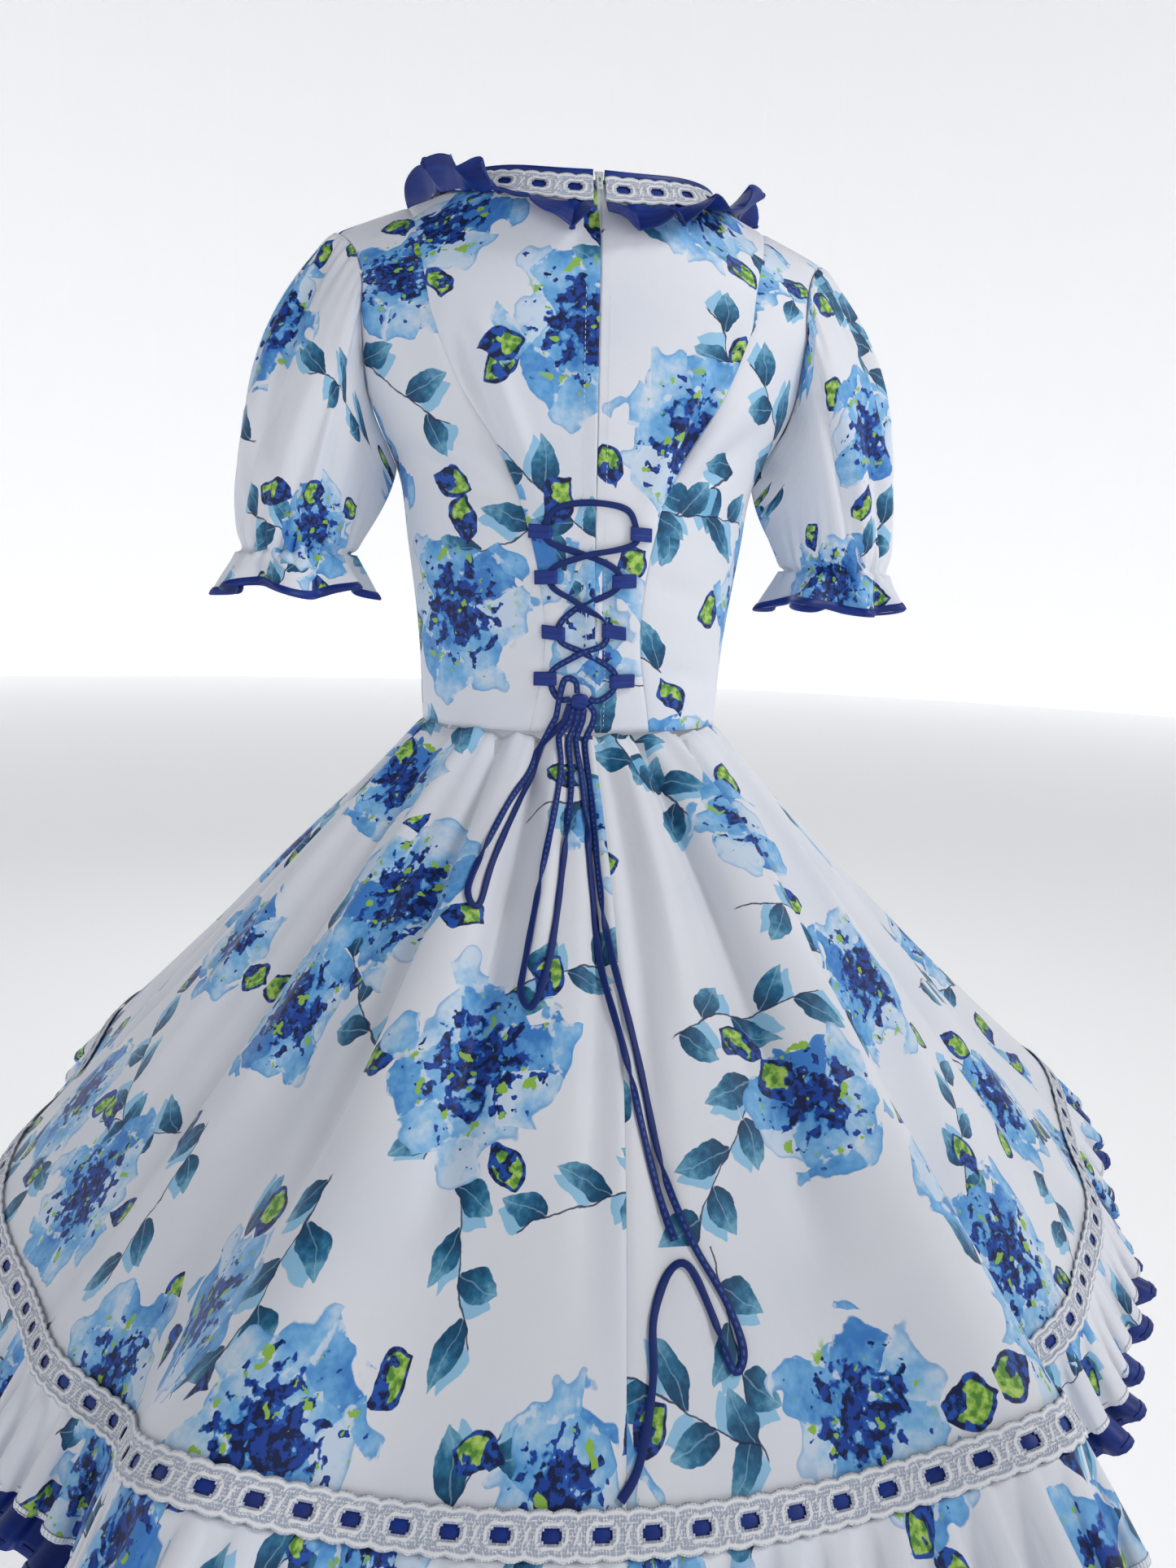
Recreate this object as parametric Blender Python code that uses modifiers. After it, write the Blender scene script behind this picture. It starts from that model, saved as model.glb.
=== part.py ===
"""Huasa dress, worn form: hollow bodice, puff sleeves, circle skirt and ruffles.

Metres, +Z up. The front faces -Y and the back, with its zip and lacing, faces +Y,
so +X is the wearer's left. The origin is on the shoulders at the base of the neck.
"""
import math
from collections import namedtuple

import bmesh
import bpy
from mathutils import Matrix, Vector

# Cloth and gaps
WALL = 0.0012
TRIM_WALL = 0.0010
SEAM_GAP = 0.0003
LAYER_GAP = 0.0005

# Heights of the bodice
WAIST = -0.400
UNDERARM = -0.205
ROLL_START = -0.100
ROLL_SHARE = 2.0 / 3.0
UNDERARM_SHARE = ROLL_SHARE * (UNDERARM - WAIST) / (ROLL_START - WAIST)

# Half the bodice at each height: widths, depths, and where the princess seams run
Section = namedtuple("Section", "height half_width back_depth front_depth back_seam front_seam")
SECTIONS = (
    Section(-0.400, 0.120, 0.088, 0.092, 0.046, 0.055),
    Section(-0.330, 0.124, 0.092, 0.098, 0.036, 0.060),
    Section(-0.260, 0.133, 0.098, 0.112, 0.045, 0.072),
    Section(-0.205, 0.142, 0.102, 0.124, 0.066, 0.085),
    Section(-0.150, 0.172, 0.103, 0.122, 0.098, 0.092),
    Section(-0.100, 0.188, 0.100, 0.110, 0.118, 0.105),
)
SHOULDER_HALF = 0.188
SHOULDER_SEAM_X = 0.138
SHOULDER_DROP = 0.35
SHOULDER_TOP = 0.030
SHOULDER_ROUND = 0.020
NECK_RISE = 0.018
NECK_RISE_REACH = 0.088
NECK_HALF = 0.097
NECK_BACK = 0.077
NECK_FRONT = 0.100
NECK_COLUMNS = 4
SHOULDER_COLUMNS = 2
ARMHOLE_SCOOP = math.radians(28)

# The lean of the worn dress: each height is turned a little about the upright axis
Turn = namedtuple("Turn", "height degrees")
TURNS = (
    Turn(-0.960, 1.0),
    Turn(-0.770, 1.0),
    Turn(-0.400, -5.0),
    Turn(-0.250, -1.5),
    Turn(-0.080, 0.0),
    Turn(0.100, 0.0),
)

# Grid sizes of the bodice and sleeves
LOWER_ROWS = 4
ARMHOLE_ROWS = 8
PANEL_COLUMNS = 4
SLEEVE_COLUMNS = 4 * ARMHOLE_ROWS

# Sleeves
CUFF_CENTRE = Vector((0.220, 0.0, -0.273))
CUFF_WIDTH = 0.042
CUFF_DEPTH = 0.047
CUFF_FRILL = 0.030
FRILL_FLARE = 0.013
FRILL_WAVE = 0.006
PUFF_OUTER = 0.030
PUFF_DEPTH = 0.014
PUFF_INNER = 0.005
SLEEVE_SHARES = (0.0, 0.10, 0.30, 0.55, 0.80, 1.0)
BINDING = 0.005
BINDING_LIFT = 0.0008

# Skirt: a full circle, held out by the petticoat
SKIRT_COLUMNS = 92
SKIRT_SHARES = (0.0, 0.14, 0.32, 0.62, 1.0)
SKIRT_SLANT = 0.514
SKIRT_TOP_DROP = 0.0014
HEM_RADIUS = 0.452
FRONT_LIFT = 0.034
FOLD_GROWTH = 1.4
Fold = namedtuple("Fold", "angle width rise at_waist")
FOLDS = (
    Fold(8, 9, 0.002, 0.003),
    Fold(27, 8, 0.034, 0.007),
    Fold(41, 8, -0.032, 0.004),
    Fold(61, 14, -0.032, 0.000),
    Fold(84, 9, -0.004, 0.002),
    Fold(103, 9, -0.006, 0.000),
    Fold(122, 10, 0.022, 0.003),
    Fold(145, 10, -0.026, 0.002),
    Fold(168, 9, 0.024, 0.004),
    Fold(190, 10, -0.024, 0.003),
    Fold(212, 10, 0.022, 0.002),
    Fold(234, 9, -0.026, 0.000),
    Fold(260, 10, 0.028, 0.002),
    Fold(280, 9, -0.004, 0.000),
    Fold(300, 11, -0.024, 0.000),
    Fold(316, 8, -0.052, 0.004),
    Fold(334, 8, 0.044, 0.007),
    Fold(350, 7, 0.002, 0.004),
)

# Hem: beading lace with its ribbon, then the ruffles and the net petticoat
LACE_HEIGHT = 0.020
WINDOW_WIDTH_SHARE = 0.50
WINDOW_HEIGHT_SHARE = 0.42
RIBBON_HEIGHT = 0.012
HEM_LIFT = 0.0007
RUFFLE_DROP = 0.060
RUFFLE_COLUMNS = 2 * SKIRT_COLUMNS
RUFFLE_WAVES = RUFFLE_COLUMNS // 4
RUFFLE_WAVE = 0.007
RUFFLE_STEEPER = math.radians(8)
UNDER_DROP = 0.086
UNDER_WAVES = SKIRT_COLUMNS // 4
UNDER_WAVE = 0.008
UNDER_INSET = 0.018
UNDER_FLARE = 0.012
PETTICOAT_COLUMNS = SKIRT_COLUMNS // 2
PETTICOAT_DROP = 0.084
PETTICOAT_INSET = 0.030
PETTICOAT_DRAW_IN = 1.5

# Neck trims
NECK_GAP = 0.004
NECK_LIFT = 0.0020
NECK_WINDOWS = 24
BAND_HEIGHT = 0.006
BAND_CLEAR = 0.0011
NECK_LACE = 0.020
NECK_RUFFLE = 0.025
NECK_RUFFLE_START = 0.0020
NECK_RUFFLE_COLUMNS = 80
NECK_RUFFLE_WAVE = 0.0045
Lift = namedtuple("Lift", "angle degrees")
LIFTS = (
    Lift(0, 22),
    Lift(25, 35),
    Lift(45, 92),
    Lift(75, 98),
    Lift(105, 50),
    Lift(180, 30),
    Lift(255, 45),
    Lift(285, 80),
    Lift(310, 60),
    Lift(335, 30),
    Lift(360, 22),
)

# Zip
ZIP_HALF = 0.0012
ZIP_OPENING = 0.0016
SLIDER_HEIGHT = -0.010
SLIDER_SIZE = Vector((0.0064, 0.0022, 0.0100))
PIN_RADIUS = 0.0005
PIN_OUT = 0.0016
LUG_THICK = 0.0008
EYE_RADIUS = 0.0012
EYE_BORE = 0.0008
EYE_WIDTH = 0.0030
TAB_LENGTH = 0.0130
TAB_WIDTH = 0.0050
TAB_END_WIDTH = 0.0040
TAB_THICK = 0.0010
TAB_HOLE = 0.0018

# Lacing loops: height, and how far their ends lie from the centre back seam
Loop = namedtuple("Loop", "height left_inner left_outer right_inner right_outer")
LOOPS = (
    Loop(-0.253, 0.0310, 0.0465, 0.0270, 0.0420),
    Loop(-0.286, 0.0275, 0.0425, 0.0150, 0.0310),
    Loop(-0.325, 0.0225, 0.0380, 0.0060, 0.0235),
    Loop(-0.360, 0.0285, 0.0440, 0.0120, 0.0305),
)
LOOP_TALL = 0.009
LOOP_WALL = 0.0010
LOOP_LIFT = 0.0008
CORD = 0.0032
LOOP_HOLLOW = CORD + 0.0007
LOOP_RADIUS = (LOOP_HOLLOW + LOOP_WALL) / 2
LACE_LIFT = LOOP_LIFT + LOOP_WALL / 2 + LOOP_RADIUS
LACE_REACH = 0.0070
UNDER_CROSSING = 0.0023
OVER_CROSSING = 0.0064

# Lace routes: metres to the wearer's left, metres below the waist, height over the cloth
Route = namedtuple("Route", "across down lift")
CROSSINGS = ((0.0060, -0.1310), (0.0090, -0.0947), (0.0084, -0.0600))
TOP_BAR = (
    Route(0.0260, -0.1640, 0.0030),
    Route(0.0030, -0.1680, 0.0026),
    Route(-0.0220, -0.1650, 0.0030),
)
KNOT = Route(0.0109, -0.0241, 0.0048)
KNOT_SIZE = Vector((0.0140, 0.0120, 0.0080))
KNOT_GAP = 0.0005
BOW_LEFT = (
    Route(0.0140, -0.0390, 0.0064),
    Route(0.0200, -0.0415, 0.0072),
    Route(0.0245, -0.0330, 0.0072),
    Route(0.0330, 0.0150, 0.0034),
    Route(0.0560, 0.0700, 0.0030),
    Route(0.0800, 0.1320, 0.0030),
    Route(0.0845, 0.1520, 0.0030),
    Route(0.0790, 0.1570, 0.0030),
    Route(0.0690, 0.1200, 0.0030),
    Route(0.0445, 0.0500, 0.0030),
    Route(0.0290, 0.0130, 0.0034),
)
BOW_RIGHT = (
    Route(0.0205, 0.0130, 0.0034),
    Route(0.0230, 0.0400, 0.0030),
    Route(0.0376, 0.1154, 0.0030),
    Route(0.0525, 0.1900, 0.0030),
    Route(0.0565, 0.2150, 0.0030),
    Route(0.0500, 0.2230, 0.0030),
    Route(0.0400, 0.1884, 0.0030),
    Route(0.0280, 0.1154, 0.0030),
    Route(0.0170, 0.0500, 0.0030),
    Route(0.0155, 0.0130, 0.0034),
)
TAIL_SHORT = (
    Route(0.0105, 0.0130, 0.0034),
    Route(0.0108, 0.0460, 0.0030),
    Route(0.0126, 0.1200, 0.0030),
    Route(0.0095, 0.1883, 0.0030),
    Route(0.0002, 0.2495, 0.0030),
    Route(-0.0120, 0.3155, 0.0030),
    Route(-0.0258, 0.3660, 0.0030),
)
TAIL_LONG = (
    Route(-0.0005, -0.0130, 0.0040),
    Route(0.0050, 0.0130, 0.0034),
    Route(0.0050, 0.0600, 0.0030),
    Route(0.0060, 0.1200, 0.0030),
    Route(0.0040, 0.1800, 0.0030),
    Route(-0.0056, 0.2445, 0.0030),
    Route(-0.0200, 0.3207, 0.0030),
    Route(-0.0338, 0.3660, 0.0030),
    Route(-0.0510, 0.3992, 0.0030),
    Route(-0.0600, 0.4270, 0.0030),
    Route(-0.0540, 0.4365, 0.0030),
    Route(-0.0440, 0.4070, 0.0030),
    Route(-0.0320, 0.3800, 0.0030),
    Route(-0.0215, 0.3840, 0.0030),
    Route(-0.0130, 0.4070, 0.0030),
    Route(-0.0128, 0.4366, 0.0030),
    Route(-0.0061, 0.4738, 0.0030),
    Route(0.0032, 0.4900, 0.0030),
)

WHITE_PRINT = (0.80, 0.83, 0.90)
ROYAL_BLUE = (0.010, 0.045, 0.300)
WHITE_TRIM = (0.86, 0.87, 0.90)
NET_WHITE = (0.88, 0.89, 0.90)
ZIP_METAL = (0.72, 0.76, 0.72)


def clear_scene():
    for item in list(bpy.data.objects):
        bpy.data.objects.remove(item)


def make_collection(name):
    group = bpy.data.collections.new(name)
    bpy.context.scene.collection.children.link(group)
    return group


def finish(piece, colour, roughness=0.8, metallic=0.0):
    """Give a piece a material of its own."""
    material = bpy.data.materials.new(piece.name + "_finish")
    material.use_nodes = True
    shader = material.node_tree.nodes["Principled BSDF"]
    shader.inputs["Base Color"].default_value = (*colour, 1.0)
    shader.inputs["Roughness"].default_value = roughness
    shader.inputs["Metallic"].default_value = metallic
    piece.data.materials.clear()
    piece.data.materials.append(material)


def read_table(rows, key, column, at):
    """Read a column of a table at any place, on a smooth curve through its rows."""
    places = [getattr(row, key) for row in rows]
    values = [getattr(row, column) for row in rows]
    if places[0] > places[-1]:
        places.reverse()
        values.reverse()
    if at <= places[0]:
        return values[0]
    if at >= places[-1]:
        return values[-1]
    i = max(k for k in range(len(places) - 1) if places[k] <= at)
    step = places[i + 1] - places[i]
    before = max(i - 1, 0)
    after = min(i + 2, len(places) - 1)
    slope_in = (values[i + 1] - values[before]) / (places[i + 1] - places[before]) * step
    slope_out = (values[after] - values[i]) / (places[after] - places[i]) * step
    t = (at - places[i]) / step
    start = values[i] * (2 * t**3 - 3 * t**2 + 1) + slope_in * (t**3 - 2 * t**2 + t)
    end = values[i + 1] * (3 * t**2 - 2 * t**3) + slope_out * (t**3 - t**2)
    return start + end


def worn(point):
    """Turn a point about the upright axis by the lean at its height."""
    turn = math.radians(read_table(TURNS, "height", "degrees", point.z))
    return Vector((
        point.x * math.cos(turn) + point.y * math.sin(turn),
        point.y * math.cos(turn) - point.x * math.sin(turn),
        point.z,
    ))


def cloth(name, rows, colour, inside, closed=False, wall=WALL, grow=1, hole=None):
    """Join rows of points into a sheet facing away from inside, and give it a wall.

    With a hole, each cell becomes a frame around a window of that (width, height) share.
    """
    count = len(rows[0])
    points = [worn(point) for row in rows for point in row]
    cells = []
    for r in range(len(rows) - 1):
        for c in range(count if closed else count - 1):
            d = (c + 1) % count
            cells.append((r * count + c, r * count + d, (r + 1) * count + d, (r + 1) * count + c))
    faces = cells
    if hole:
        faces = []
        for cell in cells:
            corners = [points[k] for k in cell]
            first = len(points)
            for u, v in ((-1, -1), (1, -1), (1, 1), (-1, 1)):
                s = 0.5 + 0.5 * u * hole[0]
                t = 0.5 + 0.5 * v * hole[1]
                upper = corners[0].lerp(corners[1], s)
                lower = corners[3].lerp(corners[2], s)
                points.append(upper.lerp(lower, t))
            for k in range(4):
                n = (k + 1) % 4
                faces.append((cell[k], cell[n], first + n, first + k))
    mesh = bpy.data.meshes.new(name)
    mesh.from_pydata([tuple(point) for point in points], [], faces)
    mesh.update()
    facing = sum(face.normal.dot(face.center - inside(face.center)) for face in mesh.polygons)
    if facing < 0:
        mesh.flip_normals()
    mesh.shade_smooth()
    piece = bpy.data.objects.new(name, mesh)
    parts.objects.link(piece)
    shell = piece.modifiers.new("Wall", "SOLIDIFY")
    shell.thickness = wall
    shell.offset = grow
    shell.use_even_offset = True
    finish(piece, colour)
    return piece


def body_axis(centre):
    """The point inside the dress that its outer faces look away from."""
    return Vector((0.0, 0.0, min(centre.z - 0.05, -0.12)))


def trim_edges(rows, left=0.0, right=0.0, top=0.0, bottom=0.0):
    """Draw the edges of a grid in, so that a seam keeps its gap."""
    def drawn(edge, inner, gap):
        return edge + (inner - edge).normalized() * gap if gap else edge
    rows = [list(row) for row in rows]
    for row in rows:
        row[0] = drawn(row[0], row[1], left)
        row[-1] = drawn(row[-1], row[-2], right)
    rows[0] = [drawn(a, b, top) for a, b in zip(rows[0], rows[1])]
    rows[-1] = [drawn(a, b, bottom) for a, b in zip(rows[-1], rows[-2])]
    return rows


def section(column, height):
    return read_table(SECTIONS, "height", column, height)


def shoulder_height(x):
    slope = SHOULDER_TOP - SHOULDER_DROP * math.hypot(x, SHOULDER_ROUND)
    return slope + NECK_RISE * math.exp(-(x / NECK_RISE_REACH) ** 4)


def roll_depth(side, x):
    """Depth of the bodice where its roll over the shoulder starts."""
    depth = section("back_depth" if side > 0 else "front_depth", ROLL_START)
    return depth * math.sqrt(max(1.0 - (x / SHOULDER_HALF) ** 2, 0.0))


def torso_point(side, angle, share):
    """A point on the bodice: side is 1 at the back, share runs from waist to shoulder."""
    height = WAIST + min(share / ROLL_SHARE, 1.0) * (ROLL_START - WAIST)
    x = section("half_width", height) * math.sin(angle)
    y = section("back_depth" if side > 0 else "front_depth", height) * math.cos(angle)
    if share > ROLL_SHARE:
        roll = (share - ROLL_SHARE) / (1.0 - ROLL_SHARE) * math.pi / 2
        y *= math.cos(roll)
        height += (shoulder_height(x) - ROLL_START) * math.sin(roll)
    return Vector((x, side * y, height))


def seam_angle(side, share):
    """Angle of the princess seam from the centre line."""
    if share <= ROLL_SHARE:
        height = WAIST + share / ROLL_SHARE * (ROLL_START - WAIST)
        x = section("back_seam" if side > 0 else "front_seam", height)
        return math.asin(x / section("half_width", height))
    start = seam_angle(side, ROLL_SHARE)
    end = math.asin(SHOULDER_SEAM_X / SHOULDER_HALF)
    return start + (end - start) * (share - ROLL_SHARE) / (1.0 - ROLL_SHARE)


def panel_shares():
    """Shares of the height for a panel's rows, shoulder first."""
    lower = [UNDERARM_SHARE * k / LOWER_ROWS for k in range(LOWER_ROWS)]
    armhole = [
        UNDERARM_SHARE + (1.0 - UNDERARM_SHARE) * k / ARMHOLE_ROWS
        for k in range(ARMHOLE_ROWS + 1)
    ]
    return (lower + armhole)[::-1]


def armhole_angle(share):
    if share <= UNDERARM_SHARE:
        return math.pi / 2
    along = (1.0 - share) / (1.0 - UNDERARM_SHARE)
    return math.pi / 2 - ARMHOLE_SCOOP * math.sin(math.pi * along)


def neck_share(side, x):
    """Share of the height at which the neckline crosses the bodice at this x."""
    if abs(x) >= NECK_HALF:
        return 1.0
    reach = NECK_BACK if side > 0 else NECK_FRONT
    y = reach * math.sqrt(1.0 - (x / NECK_HALF) ** 2)
    roll = math.acos(min(y / roll_depth(side, x), 1.0))
    return ROLL_SHARE + (1.0 - ROLL_SHARE) * roll / (math.pi / 2)


def centre_column(side, k):
    """Column k of half a centre panel, from the neckline or shoulder down to the waist."""
    corner = math.asin(NECK_HALF / SHOULDER_HALF)
    outer = math.asin(SHOULDER_SEAM_X / SHOULDER_HALF)
    if k <= NECK_COLUMNS:
        x = NECK_HALF * math.sin(math.pi / 2 * k / NECK_COLUMNS)
        top_angle = math.asin(x / SHOULDER_HALF)
        top = neck_share(side, x) if k < NECK_COLUMNS else 1.0
    else:
        top_angle = corner + (outer - corner) * (k - NECK_COLUMNS) / SHOULDER_COLUMNS
        top = 1.0
    u = k / (NECK_COLUMNS + SHOULDER_COLUMNS)
    column = []
    for share in panel_shares():
        blend = share ** 2
        across = u * (1 - blend) + top_angle / outer * blend
        column.append((across * seam_angle(side, share), share * top))
    return column


def bodice_panels():
    left_right = (("left", 1), ("right", -1))
    shares = panel_shares()
    gap = SEAM_GAP / 2
    columns = range(NECK_COLUMNS + SHOULDER_COLUMNS + 1)
    for word, hand in left_right:
        rows = []
        for r in range(len(shares)):
            row = []
            for k in columns:
                angle, share = centre_column(1, k)[r]
                point = torso_point(1, angle, share)
                row.append(Vector((hand * max(point.x, ZIP_OPENING), point.y, point.z)))
            rows.append(row)
        rows = trim_edges(rows, right=gap, top=gap, bottom=gap)
        cloth("back_centre_" + word, rows, WHITE_PRINT, body_axis)
    rows = []
    for r in range(len(shares)):
        row = []
        for k in range(-columns[-1], columns[-1] + 1):
            angle, share = centre_column(-1, abs(k))[r]
            row.append(torso_point(-1, math.copysign(angle, k), share))
        rows.append(row)
    rows = trim_edges(rows, left=gap, right=gap, top=gap, bottom=gap)
    cloth("front_centre", rows, WHITE_PRINT, body_axis)
    for place, side in (("back", 1), ("front", -1)):
        for word, hand in left_right:
            rows = []
            for share in shares:
                start = seam_angle(side, share)
                end = armhole_angle(share)
                row = []
                for k in range(PANEL_COLUMNS + 1):
                    angle = start + (end - start) * k / PANEL_COLUMNS
                    row.append(torso_point(side, hand * angle, share))
                rows.append(row)
            rows = trim_edges(rows, left=gap, right=gap, top=gap, bottom=gap)
            cloth(place + "_side_" + word, rows, WHITE_PRINT, body_axis)


def armhole_point(k):
    """Point k of the armhole, from the underarm up the back and down the front."""
    half = SLEEVE_COLUMNS // 2
    side = 1 if k <= half else -1
    step = (k if k <= half else SLEEVE_COLUMNS - k) / 2
    low = UNDERARM_SHARE + (1 - UNDERARM_SHARE) * math.floor(step) / ARMHOLE_ROWS
    high = UNDERARM_SHARE + (1 - UNDERARM_SHARE) * math.ceil(step) / ARMHOLE_ROWS
    start = torso_point(side, armhole_angle(low), low)
    end = torso_point(side, armhole_angle(high), high)
    return start.lerp(end, step - math.floor(step))


def sleeve_rows():
    """Rings of the left sleeve's outer face, from the armhole to the frill's edge."""
    rows = []
    for share in SLEEVE_SHARES:
        row = []
        for k in range(SLEEVE_COLUMNS):
            around = 2 * math.pi * k / SLEEVE_COLUMNS
            start = armhole_point(k) + Vector((0.0012 + 0.0006 * math.cos(around), 0, 0))
            end = CUFF_CENTRE + Vector((
                -CUFF_WIDTH * math.cos(around), CUFF_DEPTH * math.sin(around), 0))
            puff = math.sin(math.pi * share ** 0.8)
            outer = PUFF_OUTER if math.cos(around) < 0 else PUFF_INNER
            bulge = Vector((-outer * math.cos(around), PUFF_DEPTH * math.sin(around), 0))
            row.append(start.lerp(end, share) + bulge * puff)
        rows.append(row)
    for drop_share in (0.4, 1.0):
        row = []
        for k in range(SLEEVE_COLUMNS):
            around = 2 * math.pi * k / SLEEVE_COLUMNS
            wave = FRILL_WAVE * math.cos(math.pi / 2 * k) * drop_share
            reach = FRILL_FLARE * drop_share + wave
            row.append(CUFF_CENTRE + Vector((
                -(CUFF_WIDTH + reach) * math.cos(around),
                (CUFF_DEPTH + reach) * math.sin(around),
                -CUFF_FRILL * drop_share)))
        rows.append(row)
    return rows


def sleeves():
    rows = sleeve_rows()
    edge = rows[-1]
    above = rows[-2]
    share = BINDING / (CUFF_FRILL * 0.6)
    binding = []
    for row in ([a.lerp(b, 1 - share) for a, b in zip(above, edge)], edge):
        out = [Vector((p.x - CUFF_CENTRE.x, p.y - CUFF_CENTRE.y, 0)).normalized() for p in row]
        binding.append([point + way * BINDING_LIFT for point, way in zip(row, out)])
    for word, hand in (("left", 1), ("right", -1)):
        def mirrored(grid):
            return [[Vector((hand * p.x, p.y, p.z)) for p in row] for row in grid]

        def arm_axis(centre):
            along = (centre.z - UNDERARM) / (CUFF_CENTRE.z - UNDERARM)
            x = 0.165 + (CUFF_CENTRE.x - 0.165) * min(max(along, 0.0), 1.0)
            return worn(Vector((hand * x, 0, centre.z - 0.02)))
        half = SLEEVE_COLUMNS // 2
        for face, columns in (("back", range(1, half + 2)), ("front", range(half + 1, 2 * half + 2))):
            panel = [[row[k % SLEEVE_COLUMNS] for k in columns] for row in mirrored(rows)]
            panel = trim_edges(panel, left=SEAM_GAP / 2, right=SEAM_GAP / 2)
            cloth("sleeve_%s_%s" % (face, word), panel, WHITE_PRINT, arm_axis, grow=-1)
        cloth("sleeve_binding_" + word, mirrored(binding), ROYAL_BLUE, arm_axis,
              closed=True, wall=TRIM_WALL)


def fold_reach(degrees, share):
    """How far the skirt's folds move it out at this angle and share of its length."""
    reach = 0.0
    for fold in FOLDS:
        away = (degrees - fold.angle + 180) % 360 - 180
        bump = math.exp(-(away / fold.width) ** 2)
        reach += bump * fold.rise * share ** FOLD_GROWTH
        reach += bump * fold.at_waist * math.sin(math.pi * min(share / 0.6, 1.0))
    return reach


def skirt_point(degrees, share):
    """The skirt's inner face: 0 is the centre back and 90 the wearer's left."""
    angle = math.radians(degrees)
    out = Vector((math.sin(angle), math.cos(angle), 0))
    depth = section("back_depth" if out.y > 0 else "front_depth", WAIST)
    waist = Vector((section("half_width", WAIST) * out.x, depth * out.y, WAIST))
    radius = HEM_RADIUS + FRONT_LIFT * (1 - out.y) / 2
    run = radius - math.hypot(waist.x, waist.y)
    drop = math.sqrt(SKIRT_SLANT ** 2 - run ** 2)
    reach = fold_reach(degrees, share)
    point = waist + out * (run * share + reach)
    lowered = drop * share - reach * run / drop
    point.z = WAIST - SKIRT_TOP_DROP - lowered
    return point


def skirt_slope(degrees):
    """Direction down the skirt, and straight out from it, at the hem."""
    upper = skirt_point(degrees, SKIRT_SHARES[-2])
    lower = skirt_point(degrees, 1.0)
    before = skirt_point(degrees - 360 / SKIRT_COLUMNS, 1.0)
    after = skirt_point(degrees + 360 / SKIRT_COLUMNS, 1.0)
    down = (lower - upper).normalized()
    first = (lower - before).cross(down).normalized()
    second = (after - lower).cross(down).normalized()
    out = (first + second).normalized()
    return down, out / out.dot(first)


def hem_frames():
    """Hem point, direction down and direction out for each column of the skirt."""
    frames = []
    for c in range(SKIRT_COLUMNS):
        degrees = 360 * c / SKIRT_COLUMNS
        frames.append((skirt_point(degrees, 1.0), *skirt_slope(degrees)))
    return frames


def frame_at(frames, column):
    """A hem frame between two columns, on the straight cloth between them."""
    low = math.floor(column) % len(frames)
    high = (low + 1) % len(frames)
    share = column - math.floor(column)
    return [a.lerp(b, share) for a, b in zip(frames[low], frames[high])]


def skirt():
    quarter = SKIRT_COLUMNS // 4
    spans = {
        "skirt_back_left": range(0, quarter + 1),
        "skirt_front": range(quarter, 3 * quarter + 1),
        "skirt_back_right": range(3 * quarter, SKIRT_COLUMNS + 1),
    }
    for name, columns in spans.items():
        rows = [
            [skirt_point(360 * c / SKIRT_COLUMNS, share) for c in columns]
            for share in SKIRT_SHARES
        ]
        gap = SEAM_GAP / 2
        cloth(name, trim_edges(rows, left=gap, right=gap, bottom=gap), WHITE_PRINT, body_axis)


def hem_trims():
    frames = hem_frames()
    ribbon_lift = WALL + HEM_LIFT
    lace_lift = ribbon_lift + TRIM_WALL + LAYER_GAP

    def strip(columns, start, end, lift):
        rows = []
        for back in (start, end):
            row = []
            for c in columns:
                point, down, out = frames[c % SKIRT_COLUMNS]
                row.append(point - down * back + out * lift)
            rows.append(row)
        return rows

    middle = LACE_HEIGHT / 2
    half_ribbon = RIBBON_HEIGHT / 2
    ribbon = strip(range(SKIRT_COLUMNS), middle + half_ribbon, middle - half_ribbon, ribbon_lift)
    cloth("hem_ribbon", ribbon, ROYAL_BLUE, body_axis, closed=True, wall=TRIM_WALL)
    quarter = SKIRT_COLUMNS // 4
    for name, columns in (
        ("hem_lace_front", range(quarter, 3 * quarter + 1)),
        ("hem_lace_back", range(3 * quarter, 5 * quarter + 1)),
    ):
        rows = trim_edges(strip(columns, LACE_HEIGHT, 0.0, lace_lift),
                          left=SEAM_GAP / 2, right=SEAM_GAP / 2)
        cloth(name, rows, WHITE_TRIM, body_axis, wall=TRIM_WALL,
              hole=(WINDOW_WIDTH_SHARE, WINDOW_HEIGHT_SHARE))


def ruffle_rows(columns, waves, drops, length, wave, steeper, inset):
    """Rings of a ruffle that hangs from the hem; inset is its depth below the skirt."""
    frames = hem_frames()
    rows = []
    for drop in drops:
        row = []
        for c in range(columns):
            point, down, out = frame_at(frames, c * SKIRT_COLUMNS / columns)
            way = Matrix.Rotation(steeper, 3, out.cross(down)) @ down
            swing = wave * math.cos(2 * math.pi * waves * c / columns) * drop / length
            row.append(point + way * drop + out * (swing + inset(drop)))
        rows.append(row)
    return rows


def ruffles():
    print_rows = ruffle_rows(
        RUFFLE_COLUMNS, RUFFLE_WAVES, (SEAM_GAP, RUFFLE_DROP), RUFFLE_DROP,
        RUFFLE_WAVE, RUFFLE_STEEPER, lambda drop: 0.0)
    cloth("hem_ruffle", print_rows, WHITE_PRINT, body_axis, closed=True)

    def under_inset(drop):
        flare = UNDER_FLARE if drop > RUFFLE_DROP else 0.0
        return flare - (WALL + LAYER_GAP) - UNDER_INSET * min(drop / RUFFLE_DROP, 1.0)
    under_rows = ruffle_rows(
        SKIRT_COLUMNS, UNDER_WAVES, (SEAM_GAP, RUFFLE_DROP, UNDER_DROP), UNDER_DROP,
        UNDER_WAVE, RUFFLE_STEEPER, under_inset)
    cloth("under_ruffle", under_rows, ROYAL_BLUE, body_axis, closed=True)


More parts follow.
